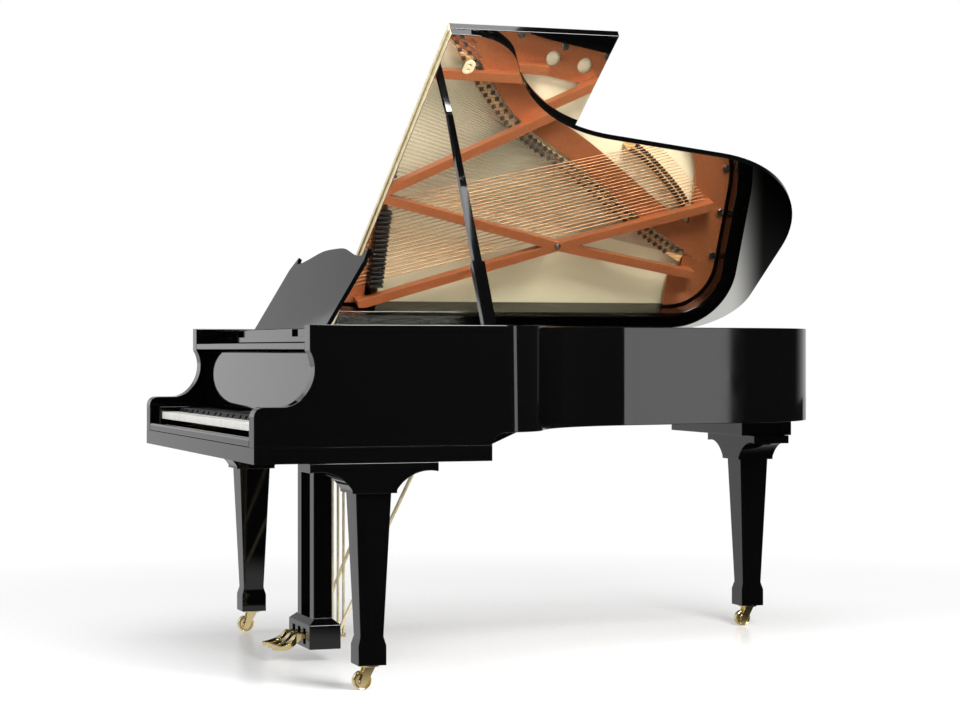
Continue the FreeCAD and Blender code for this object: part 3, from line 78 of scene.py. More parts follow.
# Small pieces: screw heads, wires, bridge pins and notches, the nose bolt, key covers and wheels.
SCREW_DOME = {"thickness": 0.6 * MM, "depth": 0.5 * MM}
SCREW_HOLLOW = {"thickness": 0.8 * MM, "depth": -0.6 * MM}
SCREW_DEPTH = 0.75
LEAF_SKIN = 1 / 6
WIRE_END = {"thickness": 0.4, "depth": 0.0}
PIN_HEIGHT = 4 * MM
PIN_POINT = {"thickness": 0.5 * MM, "depth": 0.4 * MM}
PIN_STAGGER = 0.8 * MM
PIN_ROWS = ((0.28, -1), (0.72, 1))
NOTCH_SLOPE = {"thickness": 0.1, "depth": 0.2}
NOTCH_HEIGHT = 0.4 * MM
NOTCH_SINK = 0.1 * MM
BOLT_COLLAR = 2 * MM
BOLT_SINK = 0.5 * MM
BOLT_STEPS = ((4 * MM, 3.5 * MM), (3.5 * MM, 1.2 * MM))
BOLT_EDGE = 0.5 * MM
COVER_LIMIT = 0.3
FLAT_SIDE = 0.99

# Painted shade in the mirror under the lid: where its colour falls to black, a heading in plan and the
# distances along it.
PAINTED_DARK_REFLECTION_HEADING = (0.477, 1.0, 0.0)
PAINTED_DARK_REFLECTION_FADE = (0.7, 0.83)

# The studio: levels of its light seen directly and in reflections, and where they change.
WHITE = (1, 1, 1, 1)
STUDIO_LIGHT = 0.5
BACKDROP_LEVEL = 0.7
BACKDROP_TURN = (-0.75, -0.3)
SKY_RISE = (0.05, 0.4)
SKY_TOP_SHARE = 0.2
OPEN_SIDE = (1.0, 0.8, 0.0)
OPEN_SIDE_LEVEL = 0.02
# Painted reflection on the floor: the level of its glow in reflections towards the backdrop.
PAINTED_FLOOR_REFLECTION_LEVEL = 0.6
FLOOR_SIZE = 60
# Painted reflection on the floor: where its glow in reflections turns dark towards the open side.
PAINTED_FLOOR_REFLECTION_TURN = (0.1, 0.8)
FLOOR_FADE = (1.2, 3.4)
FLOOR_NEAR_SHARE = 0.25
INSIDE_LIGHT_SHARE = 0.8
FRONT_LIGHT_SHARE = 0.25
CAMERA_SENSOR = 36.0


def linear(hex_code):
    """An sRGB hex colour as linear RGBA."""
    channels = [int(hex_code[i:i + 2], 16) / 255 for i in (1, 3, 5)]
    return [c / 12.92 if c <= 0.04045 else ((c + 0.055) / 1.055) ** 2.4 for c in channels] + [1.0]


def add(tree, kind, settings=None, links=None, feeds=None):
    """Adds one node with its settings, links its sockets by name, and feeds its first output on.
    A link comes from a node's first output, or from a pair of a node and its output's name."""
    node = tree.nodes.new(kind)
    for key, value in (settings or {}).items():
        if key == "stops":
            while len(node.color_ramp.elements) < len(value):
                node.color_ramp.elements.new(0.5)
            for element, (position, colour) in zip(node.color_ramp.elements, value):
                element.position = position
                element.color = linear(colour)
        elif isinstance(key, str) and key in node.bl_rna.properties:
            setattr(node, key, value)
        else:
            node.inputs[key].default_value = value
    for key, source in (links or {}).items():
        giver, output = source if isinstance(source, tuple) else (source, 0)
        tree.links.new(giver.outputs[output], node.inputs[key])
    if feeds:
        tree.links.new(node.outputs[0], feeds)
    return node


def start_material(name, base, roughness, metallic=0.0, ior=1.5):
    """A new material with one Principled shader, and coordinates in metres on the piece."""
    material = bpy.data.materials.new(name)
    material.use_nodes = True
    tree = material.node_tree
    tree.nodes.clear()
    output = add(tree, "ShaderNodeOutputMaterial")
    shader = add(tree, "ShaderNodeBsdfPrincipled", {
        "Base Color": linear(base), "Roughness": roughness, "Metallic": metallic, "IOR": ior},
        feeds=output.inputs["Surface"])
    coordinates = add(tree, "ShaderNodeTexCoord")
    place = add(tree, "ShaderNodeMapping", links={"Vector": (coordinates, "Object")})
    return material, tree, shader, place


def per_mm(size):
    """The scale of a pattern whose repeat is that many millimetres."""
    return 1 / (size * MM)


def black_polyester():
    """Black polyester lacquer, sprayed, cut flat and buffed: a deep black under a wet gloss,
    with a haze of buffing marks."""
    material, tree, shader, place = start_material("black_polyester", "#030303", 0.04, ior=1.54)
    haze = add(tree, "ShaderNodeTexNoise", {"Scale": per_mm(90), "Detail": 3.0}, {"Vector": place})
    add(tree, "ShaderNodeMapRange", {"To Min": 0.02, "To Max": 0.07}, {"Value": haze},
        shader.inputs["Roughness"])
    peel = add(tree, "ShaderNodeTexNoise", {"Scale": per_mm(9), "Detail": 1.0}, {"Vector": place})
    add(tree, "ShaderNodeBump", {"Strength": 0.02, "Distance": 0.02 * MM}, {"Height": peel},
        shader.inputs["Normal"])
    return material


def mirror_polyester():
    """The same lacquer under the lid, buffed to a mirror that shows the inside of the case. It is
    drawn as metal, and its colour falls to black towards the tail: painted shade in the reflection."""
    material, tree, shader, place = start_material("mirror_polyester", "#ece6df", 0.012, metallic=1.0)
    # Painted shade: the mirror's colour falls to black along this heading, towards the tail.
    along = add(tree, "ShaderNodeVectorMath", {"operation": "DOT_PRODUCT", 1: PAINTED_DARK_REFLECTION_HEADING}, {0: place})
    painted_dark_reflection = add(tree, "ShaderNodeMapRange", {
        "interpolation_type": "SMOOTHSTEP", "From Min": PAINTED_DARK_REFLECTION_FADE[0], "From Max": PAINTED_DARK_REFLECTION_FADE[1],
        "To Min": 1.0, "To Max": 0.0}, {"Value": (along, "Value")})
    add(tree, "ShaderNodeValToRGB", {"stops": [(0.0, "#0a0a0b"), (1.0, "#f0efea")]}, {"Fac": painted_dark_reflection},
        shader.inputs["Base Color"])
    haze = add(tree, "ShaderNodeTexNoise", {"Scale": per_mm(140), "Detail": 2.0}, {"Vector": place})
    add(tree, "ShaderNodeMapRange", {"To Min": 0.008, "To Max": 0.03}, {"Value": haze},
        shader.inputs["Roughness"])
    return material


def bronzed_iron():
    """Cast iron in bronze paint under clear lacquer: sand-cast grain, metal flake and a soft shine."""
    material, tree, shader, place = start_material("bronzed_iron", "#b8622f", 0.36, metallic=0.45)
    flake = add(tree, "ShaderNodeTexNoise", {"Scale": per_mm(2.2), "Detail": 4.0}, {"Vector": place})
    add(tree, "ShaderNodeValToRGB", {"stops": [(0.25, "#94502f"), (0.55, "#ab663e"), (0.85, "#c48759")]},
        {"Fac": flake}, shader.inputs["Base Color"])
    cast = add(tree, "ShaderNodeTexNoise", {"Scale": per_mm(3), "Detail": 5.0}, {"Vector": place})
    add(tree, "ShaderNodeBump", {"Strength": 0.25, "Distance": 0.2 * MM}, {"Height": cast},
        shader.inputs["Normal"])
    add(tree, "ShaderNodeMapRange", {"To Min": 0.28, "To Max": 0.46}, {"Value": cast},
        shader.inputs["Roughness"])
    return material


def straight_wood(name, dark, mid, light, grain_mm, turn, gloss):
    """Quarter-sawn wood with straight grain lines, wandering a little, under a satin finish.
    The grain is drawn coarser than life so that it shows."""
    material, tree, shader, place = start_material(name, mid, gloss)
    place.inputs["Rotation"].default_value = (0, 0, math.radians(turn))
    wander = add(tree, "ShaderNodeTexNoise", {"Scale": per_mm(400), "Detail": 2.0}, {"Vector": place})
    grain = add(tree, "ShaderNodeTexWave", {
        "wave_type": "BANDS", "bands_direction": "X", "Scale": per_mm(grain_mm) * math.pi / 10,
        "Distortion": 3.0, "Detail": 3.0, "Detail Scale": 0.6}, {"Vector": place, "Phase Offset": wander})
    add(tree, "ShaderNodeValToRGB", {"stops": [(0.05, dark), (0.45, mid), (0.95, light)]}, {"Fac": grain},
        shader.inputs["Base Color"])
    add(tree, "ShaderNodeBump", {"Strength": 0.12, "Distance": 0.1 * MM}, {"Height": grain},
        shader.inputs["Normal"])
    add(tree, "ShaderNodeMapRange", {"To Min": gloss - 0.06, "To Max": gloss + 0.1}, {"Value": wander},
        shader.inputs["Roughness"])
    return material


def drawn_metal(name, dark, light, low, high, metallic=1.0):
    """Bare or plated metal: small drifts of colour and polish from drawing, plating and handling.
    Under a thick clear lacquer it scatters more light, and is drawn less metallic."""
    material, tree, shader, place = start_material(name, light, (low + high) / 2, metallic)
    drift = add(tree, "ShaderNodeTexNoise", {"Scale": per_mm(35), "Detail": 4.0}, {"Vector": place})
    add(tree, "ShaderNodeValToRGB", {"stops": [(0.3, dark), (0.7, light)]}, {"Fac": drift},
        shader.inputs["Base Color"])
    add(tree, "ShaderNodeMapRange", {"To Min": low, "To Max": high}, {"Value": drift},
        shader.inputs["Roughness"])
    scratch = add(tree, "ShaderNodeTexNoise", {"Scale": per_mm(1.5), "Detail": 2.0}, {"Vector": place})
    add(tree, "ShaderNodeBump", {"Strength": 0.03, "Distance": 0.03 * MM}, {"Height": scratch},
        shader.inputs["Normal"])
    return material


def white_acrylic():
    """Cast acrylic key covers, polished: warm white, a clean gloss and a little depth."""
    material, tree, shader, place = start_material("white_acrylic", "#e2e0da", 0.14, ior=1.49)
    tone = add(tree, "ShaderNodeTexNoise", {"Scale": per_mm(60), "Detail": 1.0}, {"Vector": place})
    add(tree, "ShaderNodeValToRGB", {"stops": [(0.3, "#d9d7d1"), (0.7, "#e6e4de")]}, {"Fac": tone},
        shader.inputs["Base Color"])
    add(tree, "ShaderNodeMapRange", {"To Min": 0.1, "To Max": 0.2}, {"Value": tone},
        shader.inputs["Roughness"])
    shader.inputs["Subsurface Weight"].default_value = 0.05
    return material


def satin_black(name, base, roughness, grain_mm):
    """Black-stained hardwood or composite with a satin rub and a fine open grain."""
    material, tree, shader, place = start_material(name, base, roughness)
    grain = add(tree, "ShaderNodeTexNoise", {"Scale": per_mm(grain_mm), "Detail": 4.0}, {"Vector": place})
    add(tree, "ShaderNodeMapRange", {"To Min": roughness - 0.08, "To Max": roughness + 0.12},
        {"Value": grain}, shader.inputs["Roughness"])
    add(tree, "ShaderNodeBump", {"Strength": 0.1, "Distance": 0.08 * MM}, {"Height": grain},
        shader.inputs["Normal"])
    return material


def wool_felt(name, dark, light):
    """Pressed wool felt: matt, a fibrous mottle and a soft sheen at the edges."""
    material, tree, shader, place = start_material(name, light, 0.95)
    fibre = add(tree, "ShaderNodeTexNoise", {"Scale": per_mm(1.6), "Detail": 6.0}, {"Vector": place})
    add(tree, "ShaderNodeValToRGB", {"stops": [(0.3, dark), (0.7, light)]}, {"Fac": fibre},
        shader.inputs["Base Color"])
    add(tree, "ShaderNodeBump", {"Strength": 0.4, "Distance": 0.4 * MM}, {"Height": fibre},
        shader.inputs["Normal"])
    shader.inputs["Sheen Weight"].default_value = 0.3
    return material


FINISHES = {}


def finish(name):
    """The one material of that finish, made when it is first used."""
    if name not in FINISHES:
        FINISHES[name] = {
            "black": black_polyester,
            "mirror": mirror_polyester,
            "bronze": bronzed_iron,
            "spruce": lambda: straight_wood("varnished_spruce", "#e6dab0", "#ede2bd", "#f3ead0", 5, 40, 0.38),
            "beech": lambda: straight_wood("lacquered_beech", "#8d6138", "#a97a4a", "#bd9060", 14, 0, 0.4),
            "maple": lambda: straight_wood("satin_maple", "#b98c55", "#cfa56d", "#dcb985", 11, 0, 0.42),
            "graphite": lambda: satin_black("graphited_maple", "#15130f", 0.55, 2.5),
            "brass": lambda: drawn_metal("polished_brass", "#f0d894", "#fbeabb", 0.1, 0.22),
            "lacquered": lambda: drawn_metal("lacquered_brass", "#d8c99a", "#efe4c4", 0.42, 0.55, 0.45),
            "nickel": lambda: drawn_metal("nickel_plate", "#9d9b96", "#c9c7c2", 0.16, 0.3),
            "blued": lambda: drawn_metal("blued_steel", "#2a2c33", "#4a4d57", 0.25, 0.4),
            "steel": lambda: drawn_metal("music_wire", "#a9a9ab", "#d2d2d3", 0.18, 0.3),
            "copper": lambda: drawn_metal("copper_winding", "#8f6a49", "#b9906a", 0.34, 0.5),
            "white": white_acrylic,
            "sharp": lambda: satin_black("black_key_composite", "#0a0a0b", 0.3, 3.0),
            "damper": lambda: satin_black("black_stained_maple", "#0b0b0c", 0.32, 4.0),
            "felt": lambda: wool_felt("white_felt", "#c9c3b2", "#ece7d9"),
        }[name]()
    return FINISHES[name]


def deselect():
    if bpy.context.object and bpy.context.object.mode != "OBJECT":
        bpy.ops.object.mode_set(mode="OBJECT")
    bpy.ops.object.select_all(action="DESELECT")


def pick(piece):
    """Makes one object the only one selected, and active."""
    deselect()
    piece.select_set(True)
    bpy.context.view_layer.objects.active = piece


def apply(piece, kind, **settings):
    """Adds a modifier, sets it and applies it."""
    pick(piece)
    modifier = piece.modifiers.new(kind, kind)
    for key, value in settings.items():
        setattr(modifier, key, value)
    bpy.ops.object.modifier_apply(modifier=modifier.name)


def smooth(piece, degrees=35):
    """Rounds the shading over soft edges only, and keeps the flats flat."""
    pick(piece)
    bpy.ops.object.shade_smooth_by_angle(angle=math.radians(degrees))
    apply(piece, "WEIGHTED_NORMAL", keep_sharp=True)


def clean_copy(node, name):
    """A new object from a CAD node's shape, with its triangles merged back into whole faces."""
    piece = bpy.data.objects.new(name, frame["nodes"][node].data.copy())
    piece.data.name = name
    bpy.context.scene.collection.objects.link(piece)
    piece.data.materials.clear()
    pick(piece)
    bpy.ops.object.mode_set(mode="EDIT")
    bpy.ops.mesh.select_all(action="SELECT")
    bpy.ops.mesh.remove_doubles(threshold=WELD)
    bpy.ops.mesh.dissolve_limited(angle_limit=FLAT_ANGLE)
    bpy.ops.object.mode_set(mode="OBJECT")
    return piece


def round_edges(piece, width, segments=3, degrees=30):
    """Softens every sharp edge by a small round, as lacquer and buffing do."""
    apply(piece, "BEVEL", width=width, segments=segments, limit_method="ANGLE",
          angle_limit=math.radians(degrees), use_clamp_overlap=True, miter_outer="MITER_ARC")
    smooth(piece)


def hand_over(piece, body, finishes, nodes=()):
    """Gives a finished piece its materials and its body, and hides the nodes it stands for."""
    piece.data.materials.clear()
    for name in finishes:
        piece.data.materials.append(finish(name))
    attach(piece, body)
    if nodes:
        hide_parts(*nodes)
    return piece


def dress(node, finishes, edge, segments=3):
    """A CAD node's own shape with softened edges, in its finish, standing for that node."""
    piece = clean_copy(node, node + "_finished")
    round_edges(piece, edge, segments)
    return hand_over(piece, BODY_OF[node], finishes, [node])


def join(pieces, name):
    """Joins pieces into the first, under one name."""
    deselect()
    for piece in pieces:
        piece.select_set(True)
    bpy.context.view_layer.objects.active = pieces[0]
    if len(pieces) > 1:
        bpy.ops.object.join()
    pieces[0].name = name
    pieces[0].data.name = name
    return pieces[0]


def settle(piece):
    """Moves a piece's place, turn and scale into its mesh, so that it sits at the origin."""
    pick(piece)
    bpy.ops.object.transform_apply(location=True, rotation=True, scale=True)
    return piece


def copies(model, places, name):
    """Copies of one modelled shape, each moved by a matrix into its own mesh, joined as one piece."""
    made = []
    for place in places:
        copy = bpy.data.objects.new(name, model.data.copy())
        copy.data.transform(place)
        bpy.context.scene.collection.objects.link(copy)
        made.append(copy)
    bpy.data.objects.remove(model)
    return join(made, name)


def islands(node):
    """The separate solids of a CAD node, each as the list of its corner points."""
    mesh = frame["nodes"][node].data
    keys = {}
    parent = []

    def root(i):
        while parent[i] != i:
            parent[i] = parent[parent[i]]
            i = parent[i]
        return i

    index = []
    for vertex in mesh.vertices:
        key = tuple(round(c / WELD) for c in vertex.co)
        if key not in keys:
            keys[key] = len(parent)
            parent.append(len(parent))
        index.append(keys[key])
    for polygon in mesh.polygons:
        first = root(index[polygon.vertices[0]])
        for corner in polygon.vertices[1:]:
            parent[root(index[corner])] = first
    groups = {}
    for vertex in mesh.vertices:
        groups.setdefault(root(index[vertex.index]), []).append(vertex.co.copy())
    return list(groups.values())


def middle(points):
    """The middle of the box round some points."""
    return Vector([(min(p[i] for p in points) + max(p[i] for p in points)) / 2 for i in range(3)])


def shape_faces(piece, test):
    """Opens a piece in edit mode with only the faces selected that pass a test."""
    pick(piece)
    bpy.ops.object.mode_set(mode="EDIT")
    bpy.ops.mesh.select_mode(type="FACE")
    bpy.ops.mesh.select_all(action="DESELECT")
    bpy.ops.object.mode_set(mode="OBJECT")
    for face in piece.data.polygons:
        face.select = test(face)
    bpy.ops.object.mode_set(mode="EDIT")


def string_ends(node):
    """The front and back end of each string of a CAD node, on its middle line."""
    ends = []
    for points in islands(node):
        front = min(points, key=lambda point: point.y)
        back = max(points, key=lambda point: point.y)
        along = (back - front).normalized()
        first = [point for point in points if (point - front).dot(along) < STRING_END]
        last = [point for point in points if (back - point).dot(along) < STRING_END]
        ends.append((middle(first), middle(last)))
    return ends


def filled(lines):
    """Lines in order across the case, with even ones added where the CAD leaves notes out."""
    lines = sorted(lines, key=lambda line: line[0].x)
    steps = sorted(b[0].x - a[0].x for a, b in zip(lines, lines[1:]))
    step = steps[len(steps) // 2]
    full = lines[:1]
    for one, other in zip(lines, lines[1:]):
        count = round((other[0].x - one[0].x) / step)
        for i in range(1, count):
            full.append(tuple(a.lerp(b, i / count) for a, b in zip(one, other)))
        full.append(other)
    return full


def across(front, back):
    """The level direction at right angles to a string."""
    along = (back - front).normalized()
    return Vector((along.y, -along.x, 0)).normalized()


def choir_offsets(count, gap):
    """Where the strings of one note lie, from its middle."""
    return [(i - (count - 1) / 2) * gap for i in range(count)]


def between(start, end, radius):
    """The matrix that lays a rod of unit radius and length from one point to another."""
    line = end - start
    turn = line.to_track_quat("Z", "Y").to_matrix().to_4x4()
    return Matrix.Translation((start + end) / 2) @ turn @ Matrix.Diagonal((radius, radius, line.length, 1.0))


def surface(node):
    """A CAD node's surface, to feel for points on it."""
    mesh = frame["nodes"][node].data
    return BVHTree.FromPolygons([vertex.co for vertex in mesh.vertices],
                                [face.vertices for face in mesh.polygons])


def crossing(front, back, bar):
    """The first and last point of a string that lie above a bar, felt for from above."""
    found = []
    along = (back - front).normalized()
    for step in range(int((back - front).length / FEEL_STEP)):
        spot = back - along * (step * FEEL_STEP)
        if bar.ray_cast(spot + UP * FEEL_REACH, DOWN, 2 * FEEL_REACH)[0]:
            found.append(spot)
    return (found[-1], found[0]) if len(found) > FEWEST_TOUCHES else None


def paint(piece, index, direction, limit=LEVEL):
    """Gives one material to the faces that look in a direction."""
    for face in piece.data.polygons:
        if face.normal.dot(direction) > limit:
            face.material_index = index


class PianoSizes(PropertyGroup):
    """Sizes of the finish that a user may change."""
    case_edge: FloatProperty(
        name="Case edge", description="Round on the edges of the case", unit="LENGTH", default=2 * MM)
    fine_edge: FloatProperty(
        name="Fine edge", description="Round on the edges of small pieces", unit="LENGTH", default=0.8 * MM)
    plate_edge: FloatProperty(
        name="Plate edge", description="Round on the edges of the iron plate", unit="LENGTH", default=6 * MM)
    pedal_edge: FloatProperty(
        name="Pedal edge", description="Round on the edges of the pedals", unit="LENGTH", default=2.5 * MM)
    winding_edge: FloatProperty(
        name="Winding edge", description="Round on the ends of the wound strings", unit="LENGTH",
        default=0.1 * MM)
    bead: FloatProperty(
        name="Keyslip bead", description="Round on the top of the keyslip", unit="LENGTH", default=5 * MM)
    dust_board: FloatProperty(
        name="Dust board", description="Thickness of the board behind the keybed", unit="LENGTH",
        default=10 * MM)
    choir: IntProperty(
        name="Strings a note", description="Strings in each plain note", default=3, min=1, max=3)
    choir_gap: FloatProperty(
        name="String gap", description="Distance between the strings of a note", unit="LENGTH",
        default=3.2 * MM)
    wire: FloatProperty(
        name="Wire", description="Thickness of the plain strings", unit="LENGTH", default=1.2 * MM)
    notch: FloatProperty(
        name="Notch", description="Size of the notches on the bridges", unit="LENGTH", default=21 * MM)
    bridge_pin: FloatProperty(
        name="Bridge pin", description="Radius of the pins on the bridges", unit="LENGTH", default=1.1 * MM)
    screw: FloatProperty(
        name="Screw", description="Radius of the screw heads on the long hinge", unit="LENGTH",
        default=2.6 * MM)
    screw_pitch: FloatProperty(
        name="Screw pitch", description="Distance between the screws of the long hinge", unit="LENGTH",
        default=75 * MM)
    bolt: FloatProperty(
        name="Bolt collar", description="Radius of the collar under the nose bolt", unit="LENGTH",
        default=12 * MM)
    bolt_place: FloatVectorProperty(
        name="Nose bolt", description="A point above the crossing of the struts, where the plate is bolted",
        subtype="TRANSLATION", size=3, default=(-0.441, 0.352, 1.1))
    wheel_tread: FloatProperty(
        name="Tread", description="Width of the rim left on each side of a caster wheel", unit="LENGTH",
        default=5 * MM)
    wheel_web: FloatProperty(
        name="Web", description="Depth of the hollow in each side of a caster wheel", unit="LENGTH",
        default=4 * MM)


class PianoStage(PropertyGroup):
    """The floor, lights and camera."""
    floor_colour: FloatVectorProperty(
        name="Floor", description="Colour of the floor", subtype="COLOR", size=3, default=(0.82, 0.82, 0.82))
    key_power: FloatProperty(
        name="Key light", description="Power of the large soft light", unit="POWER", default=260.0)
    tail_power: FloatProperty(
        name="Tail panel", description="Power of the tall panel that the tail mirrors", unit="POWER",
        default=10.5)
    side_power: FloatProperty(
        name="Side panel", description="Power of the panel that the fallboard mirrors", unit="POWER",
        default=8.0)
    camera_place: FloatVectorProperty(
        name="Camera", description="Where the camera stands", subtype="TRANSLATION", size=3,
        default=(6.7142, -2.4672, 0.927))
    camera_turn: FloatProperty(
        name="Camera turn", description="Heading of the camera", subtype="ANGLE", default=math.radians(70.94))
    camera_lens: FloatProperty(
        name="Lens", description="Focal length in millimetres", unit="CAMERA", default=86.18)
    camera_rise: FloatProperty(
        name="Rise", description="Upward shift of the picture, as a share of its width", default=-0.01135)


class PIANO_OT_case(Operator):
    """Lacquers the rim, arms, keybed and their small pieces"""
    bl_idname = "piano.case"
    bl_label = "Case"

    def dust_board(self, sizes):
        """A thin board that slopes from the back of the keybed up to the belly rail."""
        back_of_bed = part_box("keybed")[1][1]
        rail_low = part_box("belly_rail")[0]
        left, right = [corner[0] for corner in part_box("inner_rim")]
        thick = sizes.dust_board
        front_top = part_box("keybed")[1][2] - thick
        depth = rail_low[1] - back_of_bed
        deselect()
        bpy.ops.mesh.primitive_cube_add(
            size=1.0, scale=(right - left, depth, thick),
            location=((left + right) / 2, back_of_bed + depth / 2, front_top - thick / 2))
        board = settle(bpy.context.object)
        board.name = "dust_board"
        shape_faces(board, lambda face: face.normal.y > LEVEL)
        bpy.ops.transform.translate(value=(0, 0, rail_low[2] + thick / 2 - front_top))
        bpy.ops.object.mode_set(mode="OBJECT")
        round_edges(board, sizes.fine_edge, 2)
        hand_over(board, BODY_OF["keybed"], ["black"])

    def execute(self, context):
        sizes = context.scene.piano_sizes
        dress("keyslip", ["black"], sizes.bead, 4)
        for node in ("outer_rim", "keybed", "key_blocks", "front_rail", "tail_block", "tray_rails"):
            dress(node, ["black"], sizes.case_edge)
        for node in ("inner_rim", "belly_rail", "case_braces"):
            dress(node, ["beech"], sizes.case_edge)
        self.dust_board(sizes)
        return {"FINISHED"}


class PIANO_OT_lid(Operator):
    """Finishes the lid, its flap, their hinges and the prop"""
    bl_idname = "piano.lid"
    bl_label = "Lid"

    def hinge_screws(self, sizes, node, leaf):
        """Screw heads in a row along the front of a long hinge, seated in its leaf of some thickness.
        Each head is as deep as the leaf, and its middle lies a share of that depth from the back."""
        deselect()
        bpy.ops.mesh.primitive_cylinder_add(
            vertices=12, radius=sizes.screw, depth=leaf, rotation=(math.pi / 2, 0, 0))
        screw = settle(bpy.context.object)
        shape_faces(screw, lambda face: face.normal.dot(FRONT) > LEVEL)
        bpy.ops.mesh.inset(**SCREW_DOME)
        bpy.ops.mesh.inset(**SCREW_HOLLOW)
        bpy.ops.object.mode_set(mode="OBJECT")
        smooth(screw)
        points = [vertex.co for vertex in frame["nodes"][node].data.vertices]
        back = max(point.y for point in points)
        flat = [point for point in points if point.y > back - leaf * LEAF_SKIN]
        runs = [point.dot(LID_SLOPE) for point in flat]
        rises = [-point.dot(LID_UNDERSIDE) for point in flat]
        rise = (min(rises) + max(rises)) / 2
        count = round((max(runs) - min(runs)) / sizes.screw_pitch)
        places = []
        for i in range(count):
            run = min(runs) + (i + 0.5) * (max(runs) - min(runs)) / count
            spot = LID_SLOPE * run - LID_UNDERSIDE * rise
            places.append(Matrix.Translation((spot.x, back - leaf * SCREW_DEPTH, spot.z)))
        screws = copies(screw, places, node + "_screws")
        hand_over(screws, BODY_OF[node], ["brass"])

    def execute(self, context):
        sizes = context.scene.piano_sizes
        lid = dress("main_lid", ["black", "mirror"], sizes.case_edge)
        # The underside takes the mirror, whose colour is painted dark towards the tail as shade in the
        # reflection.
        paint(lid, 1, LID_UNDERSIDE)
        flap = dress("lid_flap", ["black", "mirror"], sizes.case_edge)
        paint(flap, 1, LID_UNDERSIDE)
        dress("lid_prop", ["black"], sizes.case_edge)
        for node in ("flap_hinge", "flap_leaf", "lid_hinges", "lid_hinge_leaves", "prop_cup", "prop_bracket"):
            dress(node, ["lacquered"], sizes.fine_edge, 2)
        depths = [vertex.co.y for vertex in frame["nodes"]["flap_leaf"].data.vertices]
        for node in ("flap_hinge", "flap_leaf"):
            self.hinge_screws(sizes, node, max(depths) - min(depths))
        return {"FINISHED"}


class PIANO_OT_stringing(Operator):
    """Finishes the soundboard, bridges, plate, pins and strings"""
    bl_idname = "piano.stringing"
    bl_label = "Soundboard, plate and strings"

    def plain_choirs(self, sizes):
        """Each plain note's string as a choir of thin wires, side by side."""
        deselect()
        bpy.ops.mesh.primitive_cylinder_add(vertices=6, radius=1.0, depth=1.0)
        wire = bpy.context.object
        shape_faces(wire, lambda face: abs(face.normal.z) > LEVEL)
        bpy.ops.mesh.inset(**WIRE_END)
        bpy.ops.object.mode_set(mode="OBJECT")
        places = []
        for front, back in filled(string_ends("plain_strings")):
            for offset in choir_offsets(sizes.choir, sizes.choir_gap):
                shift = across(front, back) * offset
                places.append(between(front + shift, back + shift, sizes.wire / 2))
        choirs = copies(wire, places, "string_choirs")
        smooth(choirs)
        hand_over(choirs, BODY_OF["plain_strings"], ["steel"], ["plain_strings"])

    def bridge_pins(self, sizes, strings, node, count):
        """Two pins a string on a bridge, each pair standing in its own graphited notch."""
        deselect()
        bpy.ops.mesh.primitive_cylinder_add(
            vertices=6, radius=sizes.bridge_pin, depth=PIN_HEIGHT, location=UP * (PIN_HEIGHT / 2))
        pin = settle(bpy.context.object)
        shape_faces(pin, lambda face: face.normal.z > LEVEL)
        bpy.ops.mesh.inset(**PIN_POINT)
        bpy.ops.object.mode_set(mode="OBJECT")
        deselect()
        bpy.ops.mesh.primitive_cylinder_add(vertices=4, radius=1.0, depth=1.0)
        notch = settle(bpy.context.object)
        shape_faces(notch, lambda face: face.normal.z > LEVEL)
        bpy.ops.mesh.inset(**NOTCH_SLOPE)
        bpy.ops.object.mode_set(mode="OBJECT")
        pins = []
        notches = []
        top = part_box(node)[1][2]
        bar = surface(node)
        half = sizes.notch / 2
        for front, back in filled(string_ends(strings)):
            span = crossing(front, back, bar)
            if not span:
                continue
            side = across(front, back)
            along = (back - front).normalized()
            turn = Matrix((side, along, UP)).transposed().to_4x4()
            for share, hand in PIN_ROWS:
                spot = span[0].lerp(span[1], share)
                spot.z = top
                for offset in choir_offsets(count, sizes.choir_gap):
                    pins.append(Matrix.Translation(spot + side * (offset + hand * PIN_STAGGER)))
                seat = spot + side * (hand * half / 2) - UP * NOTCH_SINK
                size = Matrix.Diagonal((half, half, NOTCH_HEIGHT, 1.0))
                notches.append(Matrix.Translation(seat) @ turn @ size)
        studs = copies(pin, pins, node + "_pins")
        smooth(studs)
        hand_over(studs, BODY_OF[node], ["blued"])
        cuts = copies(notch, notches, node + "_notches")
        hand_over(cuts, BODY_OF[node], ["graphite"])

    def nose_bolt(self, sizes):
        """The bolt that holds the plate down where two struts cross: a collar, a nut and the rod's end."""
        foot = surface("iron_plate").ray_cast(Vector(sizes.bolt_place), DOWN)[0]
        deselect()
        bpy.ops.mesh.primitive_cylinder_add(
            vertices=24, radius=sizes.bolt, depth=BOLT_COLLAR, location=foot + UP * BOLT_SINK)
        bolt = settle(bpy.context.object)
        bolt.name = "nose_bolt"
        shape_faces(bolt, lambda face: face.normal.z > LEVEL)
        for step, rise in BOLT_STEPS:
            bpy.ops.mesh.inset(thickness=step)
            bpy.ops.mesh.extrude_region_move(TRANSFORM_OT_translate={"value": (0, 0, rise)})
        bpy.ops.object.mode_set(mode="OBJECT")
        round_edges(bolt, BOLT_EDGE, 2)
        hand_over(bolt, BODY_OF["plate_bolts_and_pins"], ["nickel"])

    def execute(self, context):
        sizes = context.scene.piano_sizes
        dress("soundboard", ["spruce"], sizes.fine_edge)
        dress("soundboard_ribs", ["spruce"], sizes.case_edge)
        for node in ("long_bridge", "bass_bridge"):
            dress(node, ["maple"], sizes.case_edge)
        dress("iron_plate", ["bronze"], sizes.plate_edge)
        dress("pin_block", ["maple"], sizes.case_edge)
        dress("plate_bolts_and_pins", ["nickel"], sizes.fine_edge, 2)
        self.nose_bolt(sizes)
        dress("tuning_pins", ["blued"], sizes.fine_edge, 1)
        self.plain_choirs(sizes)
        dress("wound_strings", ["copper"], sizes.winding_edge, 1)
        self.bridge_pins(sizes, "plain_strings", "long_bridge", sizes.choir)
        self.bridge_pins(sizes, "wound_strings", "bass_bridge", 1)
        return {"FINISHED"}


